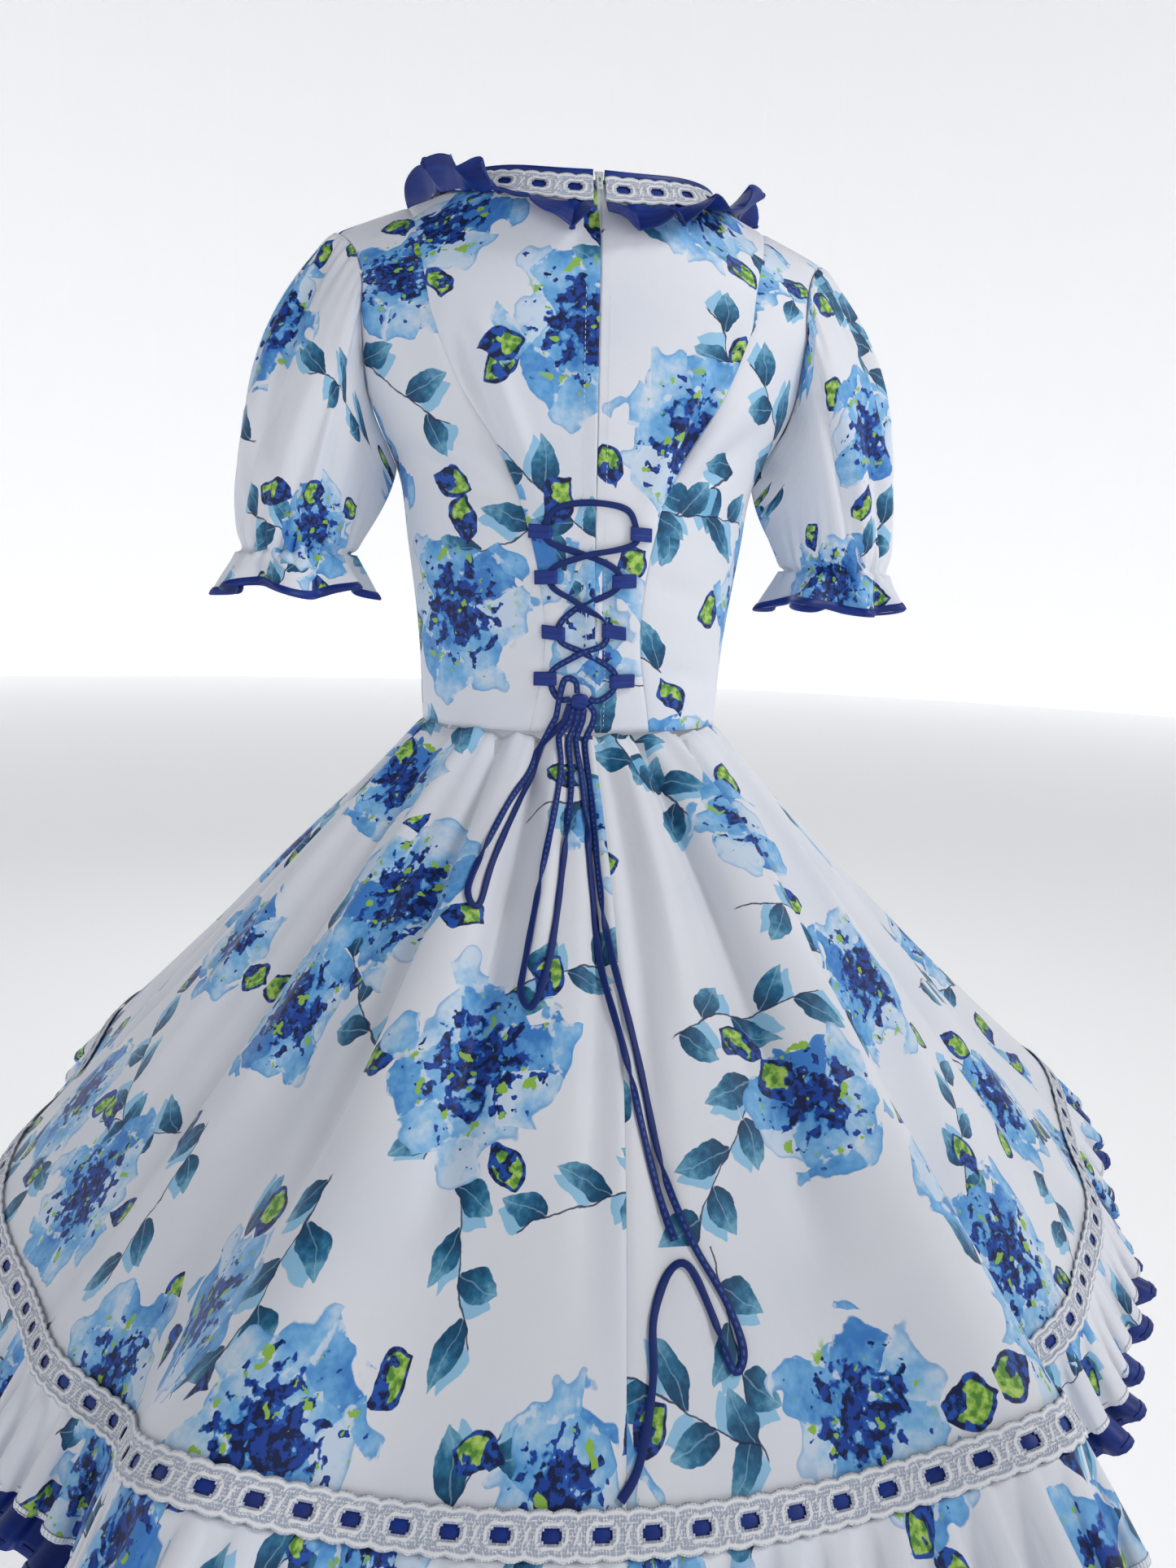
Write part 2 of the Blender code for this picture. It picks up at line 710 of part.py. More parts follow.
def petticoat():
    rows = []
    for share in (0.012, 0.5):
        row = []
        for c in range(PETTICOAT_COLUMNS):
            degrees = 360 * c / PETTICOAT_COLUMNS
            out = skirt_slope(degrees)[1].normalized()
            inset = WALL + 2 * LAYER_GAP + PETTICOAT_INSET * share
            row.append(skirt_point(degrees, share) - out * inset)
        rows.append(row)

    def inset(drop):
        return -PETTICOAT_INSET * (1 + PETTICOAT_DRAW_IN * drop / PETTICOAT_DROP)
    rows += ruffle_rows(PETTICOAT_COLUMNS, 0, (0.0, PETTICOAT_DROP), PETTICOAT_DROP,
                        0.0, RUFFLE_STEEPER, inset)
    cloth("petticoat", rows, NET_WHITE, body_axis, closed=True)


def neck_angles(count):
    """Angles that part the neckline, from one side of the zip to the other, evenly."""
    start = math.asin(NECK_GAP / NECK_HALF)
    fine = [start + (2 * math.pi - 2 * start) * k / 400 for k in range(401)]
    lengths = [0.0]
    for a, b in zip(fine, fine[1:]):
        lengths.append(lengths[-1] + (neck_plan(b) - neck_plan(a)).length)
    angles = []
    for k in range(count + 1):
        want = lengths[-1] * k / count
        i = min(sum(1 for length in lengths if length <= want) - 1, 399)
        share = (want - lengths[i]) / (lengths[i + 1] - lengths[i])
        angles.append(fine[i] + (fine[i + 1] - fine[i]) * share)
    return angles


def neck_plan(angle):
    reach = NECK_BACK if math.cos(angle) > 0 else NECK_FRONT
    return Vector((NECK_HALF * math.sin(angle), reach * math.cos(angle), 0))


def yoke_point(x, y):
    """Inner face of the bodice above the roll, as a height over a plan place."""
    depth = roll_depth(1 if y > 0 else -1, x)
    rise = math.sqrt(max(1 - (y / depth) ** 2, 0.0))
    return Vector((x, y, ROLL_START + (shoulder_height(x) - ROLL_START) * rise))


def neck_frame(angle, distance):
    """Place on the bodice at a distance from the neckline, its way down and way out."""
    plan = neck_plan(angle)
    reach = NECK_BACK if plan.y > 0 else NECK_FRONT
    outward = Vector((plan.x / NECK_HALF ** 2, plan.y / reach ** 2, 0)).normalized()
    point = yoke_point(plan.x, plan.y)
    step = 0.0005
    walked = 0.0
    place = plan.copy()
    while walked < distance:
        place = place + outward * step
        following = yoke_point(place.x, place.y)
        walked += (following - point).length
        point = following
    ahead = yoke_point(place.x + outward.x * step, place.y + outward.y * step)
    down = (ahead - point).normalized()
    along = Vector((-outward.y, outward.x, 0))
    out = down.cross(along)
    if out.z < 0:
        out = -out
    return point, down, out.normalized()


def neck_strip(angles, start, end, lift):
    rows = []
    for distance in (start, end):
        row = []
        for angle in angles:
            point, down, out = neck_frame(angle, distance)
            row.append(point + out * lift)
        rows.append(row)
    return rows


def neck_inside(centre):
    return Vector((0, 0, centre.z - 0.08))


def neck_trims():
    angles = neck_angles(NECK_WINDOWS)
    ribbon_lift = WALL + NECK_LIFT
    lace_lift = ribbon_lift + TRIM_WALL + 2 * LAYER_GAP
    half_ribbon = RIBBON_HEIGHT / 2
    middle = NECK_LACE / 2
    ribbon = neck_strip(angles, middle - half_ribbon, middle + half_ribbon, ribbon_lift)
    cloth("neck_ribbon", ribbon, ROYAL_BLUE, neck_inside, wall=TRIM_WALL)
    lace = neck_strip(angles, 0.0, NECK_LACE, lace_lift)
    cloth("neck_lace", lace, WHITE_TRIM, neck_inside, wall=TRIM_WALL,
          hole=(WINDOW_WIDTH_SHARE, WINDOW_HEIGHT_SHARE))
    band = []
    for rise in (BAND_HEIGHT, SEAM_GAP):
        row = []
        for angle in angles:
            point, down, out = neck_frame(angle, 0.0)
            row.append(point + out * (WALL / 2) - down * BAND_CLEAR + Vector((0, 0, rise)))
        band.append(row)
    cloth("neck_band", band, ROYAL_BLUE, neck_inside, wall=WALL)
    rows = []
    ruffle_angles = neck_angles(NECK_RUFFLE_COLUMNS)
    for share in (0.0, 0.45, 1.0):
        row = []
        for k, angle in enumerate(ruffle_angles):
            point, down, out = neck_frame(angle, NECK_LACE + NECK_RUFFLE_START)
            lift = math.radians(read_table(LIFTS, "angle", "degrees", math.degrees(angle)))
            way = down * math.cos(lift) + out * math.sin(lift)
            across = out * math.cos(lift) - down * math.sin(lift)
            swing = NECK_RUFFLE_WAVE * math.cos(math.pi / 2 * k) * share
            start = point + out * (WALL + NECK_LIFT)
            row.append(start + way * NECK_RUFFLE * share + across * swing)
        rows.append(row)
    cloth("neck_ruffle", rows, ROYAL_BLUE, neck_inside)


def centre_back(height):
    """Point on the inner face at the centre back, and its way down and out."""
    if height > ROLL_START:
        top = shoulder_height(0)
        rise = (height - ROLL_START) / (top - ROLL_START)
        y = roll_depth(1, 0) * math.sqrt(1 - rise ** 2)
    else:
        y = section("back_depth", height)
    return Vector((0, y, height))


def centre_back_frame(height):
    point = centre_back(height)
    down = (centre_back(height - 0.002) - point).normalized()
    return point, down, Vector((0, -down.z, down.y)).normalized()


def zip_parts():
    top = neck_share(1, 0.0)
    heights = [torso_point(1, 0.0, share * top).z for share in panel_shares()]
    heights[-1] += SEAM_GAP
    rows = [[centre_back(h) + Vector((x, 0, 0)) for x in (-ZIP_HALF, ZIP_HALF)] for h in heights]
    cloth("zip_chain", rows, WHITE_TRIM, body_axis)


def box(name, size, colour, at, turn, metallic=0.0):
    """A block at a place, turned by a matrix."""
    mesh = bpy.data.meshes.new(name)
    shape = bmesh.new()
    bmesh.ops.create_cube(shape, size=1.0)
    bmesh.ops.scale(shape, vec=size, verts=shape.verts)
    shape.to_mesh(mesh)
    shape.free()
    piece = bpy.data.objects.new(name, mesh)
    piece.matrix_world = Matrix.Translation(at) @ turn.to_4x4()
    parts.objects.link(piece)
    finish(piece, colour, 0.4, metallic)
    return piece


def rod(name, radius, length, at, turn, sides=12):
    """A cylinder along X, used to add to or cut from another piece."""
    mesh = bpy.data.meshes.new(name)
    shape = bmesh.new()
    bmesh.ops.create_cone(shape, cap_ends=True, segments=sides, radius1=radius,
                          radius2=radius, depth=length,
                          matrix=Matrix.Rotation(math.pi / 2, 4, "Y"))
    shape.to_mesh(mesh)
    shape.free()
    return guide(name, mesh, at, turn)


def guide(name, mesh, at, turn):
    piece = bpy.data.objects.new(name, mesh)
    piece.matrix_world = Matrix.Translation(at) @ turn.to_4x4()
    cutters.objects.link(piece)
    piece.hide_render = True
    piece.display_type = "WIRE"
    return piece


def block_guide(name, size, at, turn):
    mesh = bpy.data.meshes.new(name)
    shape = bmesh.new()
    bmesh.ops.create_cube(shape, size=1.0)
    bmesh.ops.scale(shape, vec=size, verts=shape.verts)
    shape.to_mesh(mesh)
    shape.free()
    return guide(name, mesh, at, turn)


def combine(piece, tool, operation):
    step = piece.modifiers.new(operation.title(), "BOOLEAN")
    step.operation = operation
    step.object = tool
    step.solver = "EXACT"


def zip_slider_and_tab():
    """The slider, with two lugs and a pin, and the pull tab that swings on the pin."""
    point, down, out = centre_back_frame(SLIDER_HEIGHT)
    turn = Matrix((
        (1, 0, 0),
        (0, out.y, -down.y),
        (0, out.z, -down.z),
    ))

    def place(x, outward, upward):
        return point + turn @ Vector((x, outward, upward))

    face = WALL + SEAM_GAP
    slider = box("zip_slider", SLIDER_SIZE, ZIP_METAL,
                 place(0, face + SLIDER_SIZE.y / 2, 0), turn, 0.6)
    pin_out = face + SLIDER_SIZE.y + PIN_OUT
    for hand in (-1, 1):
        x = hand * (EYE_WIDTH / 2 + SEAM_GAP + LUG_THICK / 2)
        size = Vector((LUG_THICK, PIN_OUT + 3 * PIN_RADIUS, 4 * PIN_RADIUS))
        lug = block_guide("slider_lug", size, place(x, pin_out - PIN_OUT / 2, 0), turn)
        combine(slider, lug, "UNION")
    pin_length = EYE_WIDTH + 2 * SEAM_GAP + 2 * LUG_THICK - 0.0002
    pin = rod("slider_pin", PIN_RADIUS, pin_length, place(0, pin_out, 0), turn)
    combine(slider, pin, "UNION")

    pivot = place(0, pin_out, 0)
    mesh = bpy.data.meshes.new("zip_pull_tab")
    shape = bmesh.new()
    bmesh.ops.create_cone(shape, cap_ends=True, segments=12, radius1=EYE_RADIUS,
                          radius2=EYE_RADIUS, depth=EYE_WIDTH,
                          matrix=Matrix.Rotation(math.pi / 2, 4, "Y"))
    shape.to_mesh(mesh)
    shape.free()
    tab = bpy.data.objects.new("zip_pull_tab", mesh)
    tab.matrix_world = Matrix.Translation(pivot) @ turn.to_4x4()
    parts.objects.link(tab)
    finish(tab, ZIP_METAL, 0.4, 0.6)

    plate_mesh = bpy.data.meshes.new("tab_plate")
    shape = bmesh.new()
    bmesh.ops.create_cube(shape, size=1.0)
    for vert in shape.verts:
        lower = vert.co.z < 0
        width = TAB_END_WIDTH if lower else EYE_WIDTH - 0.0002
        vert.co.x *= width
        vert.co.y *= TAB_THICK
        vert.co.z = -TAB_LENGTH if lower else -(EYE_BORE + 0.0002)
    middle = [edge for edge in shape.edges if abs(edge.verts[0].co.z - edge.verts[1].co.z) > 0.001]
    cut = bmesh.ops.subdivide_edges(shape, edges=middle, cuts=1)
    for vert in [item for item in cut["geom_inner"] if isinstance(item, bmesh.types.BMVert)]:
        vert.co.x = math.copysign(TAB_WIDTH / 2, vert.co.x)
        vert.co.z = -TAB_LENGTH * 0.45
    shape.to_mesh(plate_mesh)
    shape.free()
    combine(tab, guide("tab_plate", plate_mesh, pivot, turn), "UNION")
    combine(tab, rod("tab_bore", EYE_BORE, EYE_WIDTH * 2, pivot, turn), "DIFFERENCE")
    hole_place = pivot + turn @ Vector((0, 0, -TAB_LENGTH * 0.8))
    hole = block_guide("tab_hole", Vector((TAB_HOLE, TAB_THICK * 3, TAB_HOLE)), hole_place, turn)
    combine(tab, hole, "DIFFERENCE")


def skirt_face(degrees, share):
    """A point on the skirt's flat cloth between its rings and its columns."""
    step = 360 / SKIRT_COLUMNS
    left = math.floor(degrees / step) * step
    ring = max(k for k in range(len(SKIRT_SHARES) - 1) if SKIRT_SHARES[k] <= max(share, 0.0))
    start = SKIRT_SHARES[ring]
    end = SKIRT_SHARES[ring + 1]
    beside = (degrees - left) / step
    upper = skirt_point(left, start).lerp(skirt_point(left + step, start), beside)
    lower = skirt_point(left, end).lerp(skirt_point(left + step, end), beside)
    return upper.lerp(lower, (share - start) / (end - start))


def back_place(across, down, lift):
    """A place over the back: metres to the wearer's left, metres below the waist, height.

    Above the waist down is negative and the place is over the bodice; below it, it is
    measured down the skirt's cloth.
    """
    if down <= 0:
        height = WAIST - down
        angle = math.asin(across / section("half_width", height))
        share = ROLL_SHARE * (height - WAIST) / (ROLL_START - WAIST)
        point = torso_point(1, angle, share)
        above = torso_point(1, angle, share + 0.01)
        beside = torso_point(1, angle + 0.01, share)
    else:
        share = down / SKIRT_SLANT
        degrees = math.degrees(across / skirt_face(0, share).y)
        point = skirt_face(degrees, share)
        above = skirt_face(degrees, share - 0.002)
        beside = skirt_face(degrees + 0.2, share)
    out = (beside - point).cross(above - point).normalized()
    if out.y < 0:
        out = -out
    return point + out * (WALL + lift)


def lacing_loops():
    """Each loop is a band that leaves the princess seam, bends round the lace and returns."""
    bends = 6
    for number, loop in enumerate(LOOPS, 1):
        for word, hand in (("left", 1), ("right", -1)):
            inner = getattr(loop, word + "_inner")
            outer = getattr(loop, word + "_outer")
            radius = LOOP_RADIUS
            low = LOOP_LIFT + LOOP_WALL / 2
            path = [(outer, low)]
            for k in range(bends + 1):
                turn = math.pi * k / bends
                path.append((inner + radius - radius * math.sin(turn),
                             low + radius - radius * math.cos(turn)))
            path.append((outer, low + 2 * radius))
            rows = []
            for rise in (LOOP_TALL / 2, -LOOP_TALL / 2):
                rows.append([
                    back_place(hand * across, WAIST - loop.height - rise, lift)
                    for across, lift in path
                ])
            name = "lacing_loop_%s_%d" % (word, number)
            middle = back_place(hand * (inner + radius), WAIST - loop.height, low + radius)
            cloth(name, rows, ROYAL_BLUE, lambda centre, at=worn(middle): at,
                  wall=LOOP_WALL, grow=0)


def route_points(places, steps):
    """Points on a smooth curve through a route's places, so many steps to each span."""
    points = [worn(back_place(*place)) for place in places]
    curve = []
    for i in range(len(points) - 1):
        before = points[max(i - 1, 0)]
        after = points[min(i + 2, len(points) - 1)]
        slope_in = (points[i + 1] - before) / 2
        slope_out = (after - points[i]) / 2
        for k in range(steps):
            t = k / steps
            start = points[i] * (2 * t**3 - 3 * t**2 + 1) + slope_in * (t**3 - 2 * t**2 + t)
            end = points[i + 1] * (3 * t**2 - 2 * t**3) + slope_out * (t**3 - t**2)
            curve.append(start + end)
    curve.append(points[-1])
    return curve


def cord(name, places, steps=1):
    curve = bpy.data.curves.new(name, "CURVE")
    curve.dimensions = "3D"
    curve.bevel_depth = CORD / 2
    curve.bevel_resolution = 2
    curve.use_fill_caps = True
    spline = curve.splines.new("POLY")
    points = route_points(places, steps)
    spline.points.add(len(points) - 1)
    for slot, point in zip(spline.points, points):
        slot.co = (*point, 1.0)
    piece = bpy.data.objects.new(name, curve)
    parts.objects.link(piece)
    finish(piece, ROYAL_BLUE)


def knot_side(degrees, lift=KNOT.lift):
    """A place just off the knot: 0 is straight below it and 90 on the wearer's left."""
    angle = math.radians(degrees)
    return Route(
        KNOT.across + (KNOT_SIZE.x / 2 + KNOT_GAP) * math.sin(angle),
        KNOT.down + (KNOT_SIZE.y / 2 + KNOT_GAP) * math.cos(angle),
        lift)


def lacing_strand(words, lift):
    """Places of one strand from the top loop to the bottom one, crossing at a height."""
    places = []
    for number, word in enumerate(words):
        loop = LOOPS[number]
        hand = 1 if word == "left" else -1
        across = hand * (getattr(loop, word + "_inner") + LOOP_RADIUS)
        middle = WAIST - loop.height
        places.append(Route(across, middle - LACE_REACH, LACE_LIFT))
        places.append(Route(across, middle + LACE_REACH, LACE_LIFT))
        if number < len(CROSSINGS):
            places.append(Route(*CROSSINGS[number], lift))
    return places


def lacing():
    over = lacing_strand(("right", "left", "right", "left"), OVER_CROSSING)
    over += [Route(0.0250, -0.0250, 0.0026), knot_side(105)]
    under = lacing_strand(("left", "right", "left", "right"), UNDER_CROSSING)
    under += [Route(-0.0040, -0.0250, 0.0040), knot_side(-105)]
    cord("lacing", under[::-1] + list(TOP_BAR) + over)
    cord("bow_loop_left", [knot_side(165), *BOW_LEFT, knot_side(72)])
    cord("bow_loop_right", [knot_side(38), *BOW_RIGHT, knot_side(5)])
    cord("tail_short", [knot_side(-28), *TAIL_SHORT])
    cord("tail_long", [knot_side(-68), *TAIL_LONG])
    centre = worn(back_place(*KNOT))
    across = (worn(back_place(KNOT.across + 0.001, KNOT.down, KNOT.lift)) - centre).normalized()
    upward = (worn(back_place(KNOT.across, KNOT.down - 0.001, KNOT.lift)) - centre).normalized()
    out = across.cross(upward)
    mesh = bpy.data.meshes.new("bow_knot")
    shape = bmesh.new()
    bmesh.ops.create_uvsphere(shape, u_segments=10, v_segments=6, radius=0.5)
    bmesh.ops.scale(shape, vec=KNOT_SIZE, verts=shape.verts)
    shape.to_mesh(mesh)
    shape.free()
    mesh.shade_smooth()
    knot = bpy.data.objects.new("bow_knot", mesh)
    turn = Matrix((across, upward, out)).transposed()
    knot.matrix_world = Matrix.Translation(centre) @ turn.to_4x4()
    parts.objects.link(knot)
    finish(knot, ROYAL_BLUE)


clear_scene()
parts = make_collection("huasa_dress")
cutters = make_collection("cutters")
bodice_panels()
sleeves()
skirt()
hem_trims()
ruffles()
petticoat()
neck_trims()
zip_parts()
zip_slider_and_tab()
lacing_loops()
lacing()
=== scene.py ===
# %% [markdown]
# # A laced dance dress, filled out as it is worn
# The CAD frame already holds every panel, ruffle and cord as a plain solid.
# This lesson dresses that frame: each flat-faced solid gives way to a finer
# piece of cloth in the same place, with its folds, its printed flowers, its
# lace and its stitches. We load the frame first, so that all later numbers
# are in its metres: +Z up, the laced back towards +Y, the wearer's left +X.

# %% Load the CAD frame
import math
from collections import namedtuple

import bpy
import numpy as np
from mathutils import Matrix, Vector


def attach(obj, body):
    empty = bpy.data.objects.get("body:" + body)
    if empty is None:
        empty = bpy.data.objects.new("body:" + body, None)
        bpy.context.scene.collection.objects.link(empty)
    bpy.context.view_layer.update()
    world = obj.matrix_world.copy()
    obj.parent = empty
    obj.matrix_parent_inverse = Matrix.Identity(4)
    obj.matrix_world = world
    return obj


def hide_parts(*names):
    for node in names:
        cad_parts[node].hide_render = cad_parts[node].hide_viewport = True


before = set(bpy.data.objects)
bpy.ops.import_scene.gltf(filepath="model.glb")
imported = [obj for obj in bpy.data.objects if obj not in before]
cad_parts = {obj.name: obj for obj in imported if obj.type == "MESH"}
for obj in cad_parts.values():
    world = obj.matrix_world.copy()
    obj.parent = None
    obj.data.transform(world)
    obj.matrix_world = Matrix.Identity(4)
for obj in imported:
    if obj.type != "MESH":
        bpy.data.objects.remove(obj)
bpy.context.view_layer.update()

# %% [markdown]
# ## Camera, floor and light
# The dress is seen from behind, from about the height of the upper arm, by a
# wide lens that stands close: that is why the hem swells towards us. The lens
# could be guessed by eye, but matching the waist, cuffs and lace of the hem
# at once fixes its place, so those numbers are written down here. The light
# is a big soft key from the upper right, a weaker fill, a lamp in front and a
# plain pale wall all round the floor, the way cloth is lit before white paper.
# Wall and floor glow a little by themselves, evenly and in every direction.

# %% Stand the camera behind the dress
CAMERA_PLACE = Vector((0.10, 0.93, -0.29))
CAMERA_TARGET = Vector((-0.017, 0.0, -0.455))
CAMERA_ROLL = math.radians(2.0)
LENS = 26.0


def stand_camera():
    lens = bpy.data.cameras.new("camera")
    lens.lens = LENS
    lens.sensor_width = 36.0
    lens.clip_start = 0.02
    camera = bpy.data.objects.new("camera", lens)
    bpy.context.scene.collection.objects.link(camera)
    look = (CAMERA_TARGET - CAMERA_PLACE).normalized()
    right = look.cross(Vector((0, 0, 1))).normalized()
    above = right.cross(look)
    side = right * math.cos(CAMERA_ROLL) + above * math.sin(CAMERA_ROLL)
    top = above * math.cos(CAMERA_ROLL) - right * math.sin(CAMERA_ROLL)
    turn = Matrix((side, top, -look)).transposed()
    camera.matrix_world = Matrix.Translation(CAMERA_PLACE) @ turn.to_4x4()
    bpy.context.scene.camera = camera
    return camera


camera = stand_camera()
print("camera at", tuple(round(v, 2) for v in camera.location))

# %% Lay the floor and set the lights
FLOOR_HEIGHT = -1.40
FLOOR_SIZE = 60.0
FLOOR_GLOW = 0.34
BACKDROP_RADIUS = 12.0
BACKDROP_TALL = 8.0
BACKDROP_GLOW = 0.42
CEILING_WHITE = 0.02


def deselect():
    for item in list(bpy.context.selected_objects):
        item.select_set(False)


def pale_stage(name, glow):
    """Name the new floor or backdrop and give it one plain pale material."""
    piece = bpy.context.object
    piece.name = "studio_" + name
    paint = bpy.data.materials.new("pale_" + name)
    paint.use_nodes = True
    shader = paint.node_tree.nodes["Principled BSDF"]
    shader.inputs["Base Color"].default_value = (0.93, 0.93, 0.94, 1)
    shader.inputs["Roughness"].default_value = 0.9
    shader.inputs["Emission Color"].default_value = (0.97, 0.98, 1.0, 1)
    shader.inputs["Emission Strength"].default_value = glow
    piece.data.materials.append(paint)


def soft_light(name, place, target, size, watts, colour=(1, 1, 1)):
    lamp = bpy.data.lights.new(name, "AREA")
    lamp.shape = "SQUARE"
    lamp.size = size
    lamp.energy = watts
    lamp.color = colour
    holder = bpy.data.objects.new(name, lamp)
    aim = (Vector(target) - Vector(place)).to_track_quat("-Z", "Y")
    holder.matrix_world = Matrix.Translation(Vector(place)) @ aim.to_matrix().to_4x4()
    bpy.context.scene.collection.objects.link(holder)


deselect()
bpy.ops.mesh.primitive_plane_add(size=FLOOR_SIZE, location=(0, 0, FLOOR_HEIGHT))
pale_stage("floor", FLOOR_GLOW)
bpy.ops.mesh.primitive_cylinder_add(vertices=96, radius=BACKDROP_RADIUS, depth=BACKDROP_TALL,
                                    end_fill_type="NOTHING",
                                    location=(0, 0, FLOOR_HEIGHT + BACKDROP_TALL / 2))
pale_stage("backdrop", BACKDROP_GLOW)
soft_light("key", (-2.2, 1.2, 2.0), (0, 0, -0.4), 0.9, 46, (1.0, 0.99, 0.98))
soft_light("fill", (2.4, 1.2, 0.6), (0, 0, -0.4), 2.0, 3, (0.93, 0.95, 1.0))
soft_light("front", (0.3, -2.4, 1.2), (0, 0, -0.4), 1.8, 16)
world = bpy.data.worlds.new("white_room")
world.use_nodes = True
sky = world.node_tree.nodes["Background"]
sky.inputs["Color"].default_value = (0.97, 0.98, 1.0, 1)
sky.inputs["Strength"].default_value = CEILING_WHITE
bpy.context.scene.world = world
bpy.context.scene.view_settings.view_transform = "Standard"
print("floor at", FLOOR_HEIGHT)

# %% [markdown]
# ## The measures of the dress
# A cutter keeps a table of body measures, and all panels come from it. We
# keep the same tables as the CAD source: the width and depth of the bodice at
# each height, how the worn dress leans, the big folds of the skirt, the lift
# of the neck ruffle and the places of the lacing loops. Arrays are used, so
# that one line works out a whole panel of points at once.

# %% Tables of measures
WALL = 0.0012
LAYER_GAP = 0.0005
WAIST = -0.400
UNDERARM = -0.205
ROLL_START = -0.100
ROLL_SHARE = 2.0 / 3.0
UNDERARM_SHARE = ROLL_SHARE * (UNDERARM - WAIST) / (ROLL_START - WAIST)

Section = namedtuple("Section", "height half_width back_depth front_depth back_seam front_seam")
SECTIONS = (
    Section(-0.400, 0.120, 0.088, 0.092, 0.046, 0.055),
    Section(-0.330, 0.124, 0.092, 0.098, 0.036, 0.060),
    Section(-0.260, 0.133, 0.098, 0.112, 0.045, 0.072),
    Section(-0.205, 0.142, 0.102, 0.124, 0.066, 0.085),
    Section(-0.150, 0.172, 0.103, 0.122, 0.098, 0.092),
    Section(-0.100, 0.188, 0.100, 0.110, 0.118, 0.105),
)
SHOULDER_HALF = 0.188
SHOULDER_SEAM_X = 0.138
SHOULDER_DROP = 0.35
SHOULDER_TOP = 0.030
SHOULDER_ROUND = 0.020
NECK_RISE = 0.018
NECK_RISE_REACH = 0.088
NECK_HALF = 0.097
NECK_BACK = 0.077
NECK_FRONT = 0.100
ARMHOLE_SCOOP = math.radians(28)

Turn = namedtuple("Turn", "height degrees")
TURNS = (
    Turn(-0.960, 1.0),
    Turn(-0.770, 1.0),
    Turn(-0.400, -5.0),
    Turn(-0.250, -1.5),
    Turn(-0.080, 0.0),
    Turn(0.100, 0.0),
)

Fold = namedtuple("Fold", "angle width rise at_waist")
FOLDS = (
    Fold(8, 9, 0.002, 0.003),
    Fold(27, 8, 0.034, 0.007),
    Fold(41, 8, -0.032, 0.004),
    Fold(61, 14, -0.032, 0.000),
    Fold(84, 9, -0.004, 0.002),
    Fold(103, 9, -0.006, 0.000),
    Fold(122, 10, 0.022, 0.003),
    Fold(145, 10, -0.026, 0.002),
    Fold(168, 9, 0.024, 0.004),
    Fold(190, 10, -0.024, 0.003),
    Fold(212, 10, 0.022, 0.002),
    Fold(234, 9, -0.026, 0.000),
    Fold(260, 10, 0.028, 0.002),
    Fold(280, 9, -0.004, 0.000),
    Fold(300, 11, -0.024, 0.000),
    Fold(316, 8, -0.052, 0.004),
    Fold(334, 8, 0.044, 0.007),
    Fold(350, 7, 0.002, 0.004),
)
SKIRT_SLANT = 0.514
SKIRT_TOP_DROP = 0.0014
HEM_RADIUS = 0.452
FRONT_LIFT = 0.034
FOLD_GROWTH = 1.4


def smooth_curve(table, key, column, samples=600):
    """Dense samples of a table's column, on the same smooth curve as the CAD."""
    places = np.array([getattr(row, key) for row in table])
    values = np.array([getattr(row, column) for row in table])
    if places[0] > places[-1]:
        places, values = places[::-1], values[::-1]
    at = np.linspace(places[0], places[-1], samples)
    i = np.clip(np.searchsorted(places, at, side="right") - 1, 0, len(places) - 2)
    before, after = np.maximum(i - 1, 0), np.minimum(i + 2, len(places) - 1)
    step = places[i + 1] - places[i]
    slope_in = (values[i + 1] - values[before]) / (places[i + 1] - places[before]) * step
    slope_out = (values[after] - values[i]) / (places[after] - places[i]) * step
    t = (at - places[i]) / step
    start = values[i] * (2 * t**3 - 3 * t**2 + 1) + slope_in * (t**3 - 2 * t**2 + t)
    end = values[i + 1] * (3 * t**2 - 2 * t**3) + slope_out * (t**3 - t**2)
    return at, start + end


SECTION_CURVES = {
    column: smooth_curve(SECTIONS, "height", column) for column in Section._fields[1:]
}
TURN_CURVE = smooth_curve(TURNS, "height", "degrees")


def section(column, height):
    return np.interp(height, *SECTION_CURVES[column])


def points(x, y, z):
    return np.stack(np.broadcast_arrays(x, y, z), axis=-1)


def leaned(way, height):
    """Turn directions by the lean of the worn dress at a height."""
    turn = np.radians(np.interp(height, *TURN_CURVE))
    x, y = way[..., 0], way[..., 1]
    return points(x * np.cos(turn) + y * np.sin(turn), y * np.cos(turn) - x * np.sin(turn),
                  way[..., 2])


def worn(place):
    """Turn points about the upright axis by the lean of the worn dress."""
    return leaned(place, place[..., 2])


print("measures:", len(SECTIONS), "sections,", len(FOLDS), "skirt folds")

# %% [markdown]
# ## From a formula to a sheet of cloth
# Every panel is a grid of points on a smooth surface. Folds are then pressed
# into the grid along its normals, and the whole is turned by the lean. A
# simulation could drape the cloth instead, but it would not keep the folds
# where they hang on this dress, so the main creases are laid one by one. Each
# grid becomes a mesh with a UV map in metres of flat cloth, so that the print
# keeps its size on every panel, and Solidify gives it a wall.

# %% Helpers: normals, lengths and the sheet itself
CLOTH_THICK = 0.0009


def normals_of(place):
    """Unit normals of a grid of points."""
    down = np.gradient(place, axis=0)
    across = np.gradient(place, axis=1)
    normal = np.cross(across, down)
    return normal / np.maximum(np.linalg.norm(normal, axis=-1, keepdims=True), 1e-9)


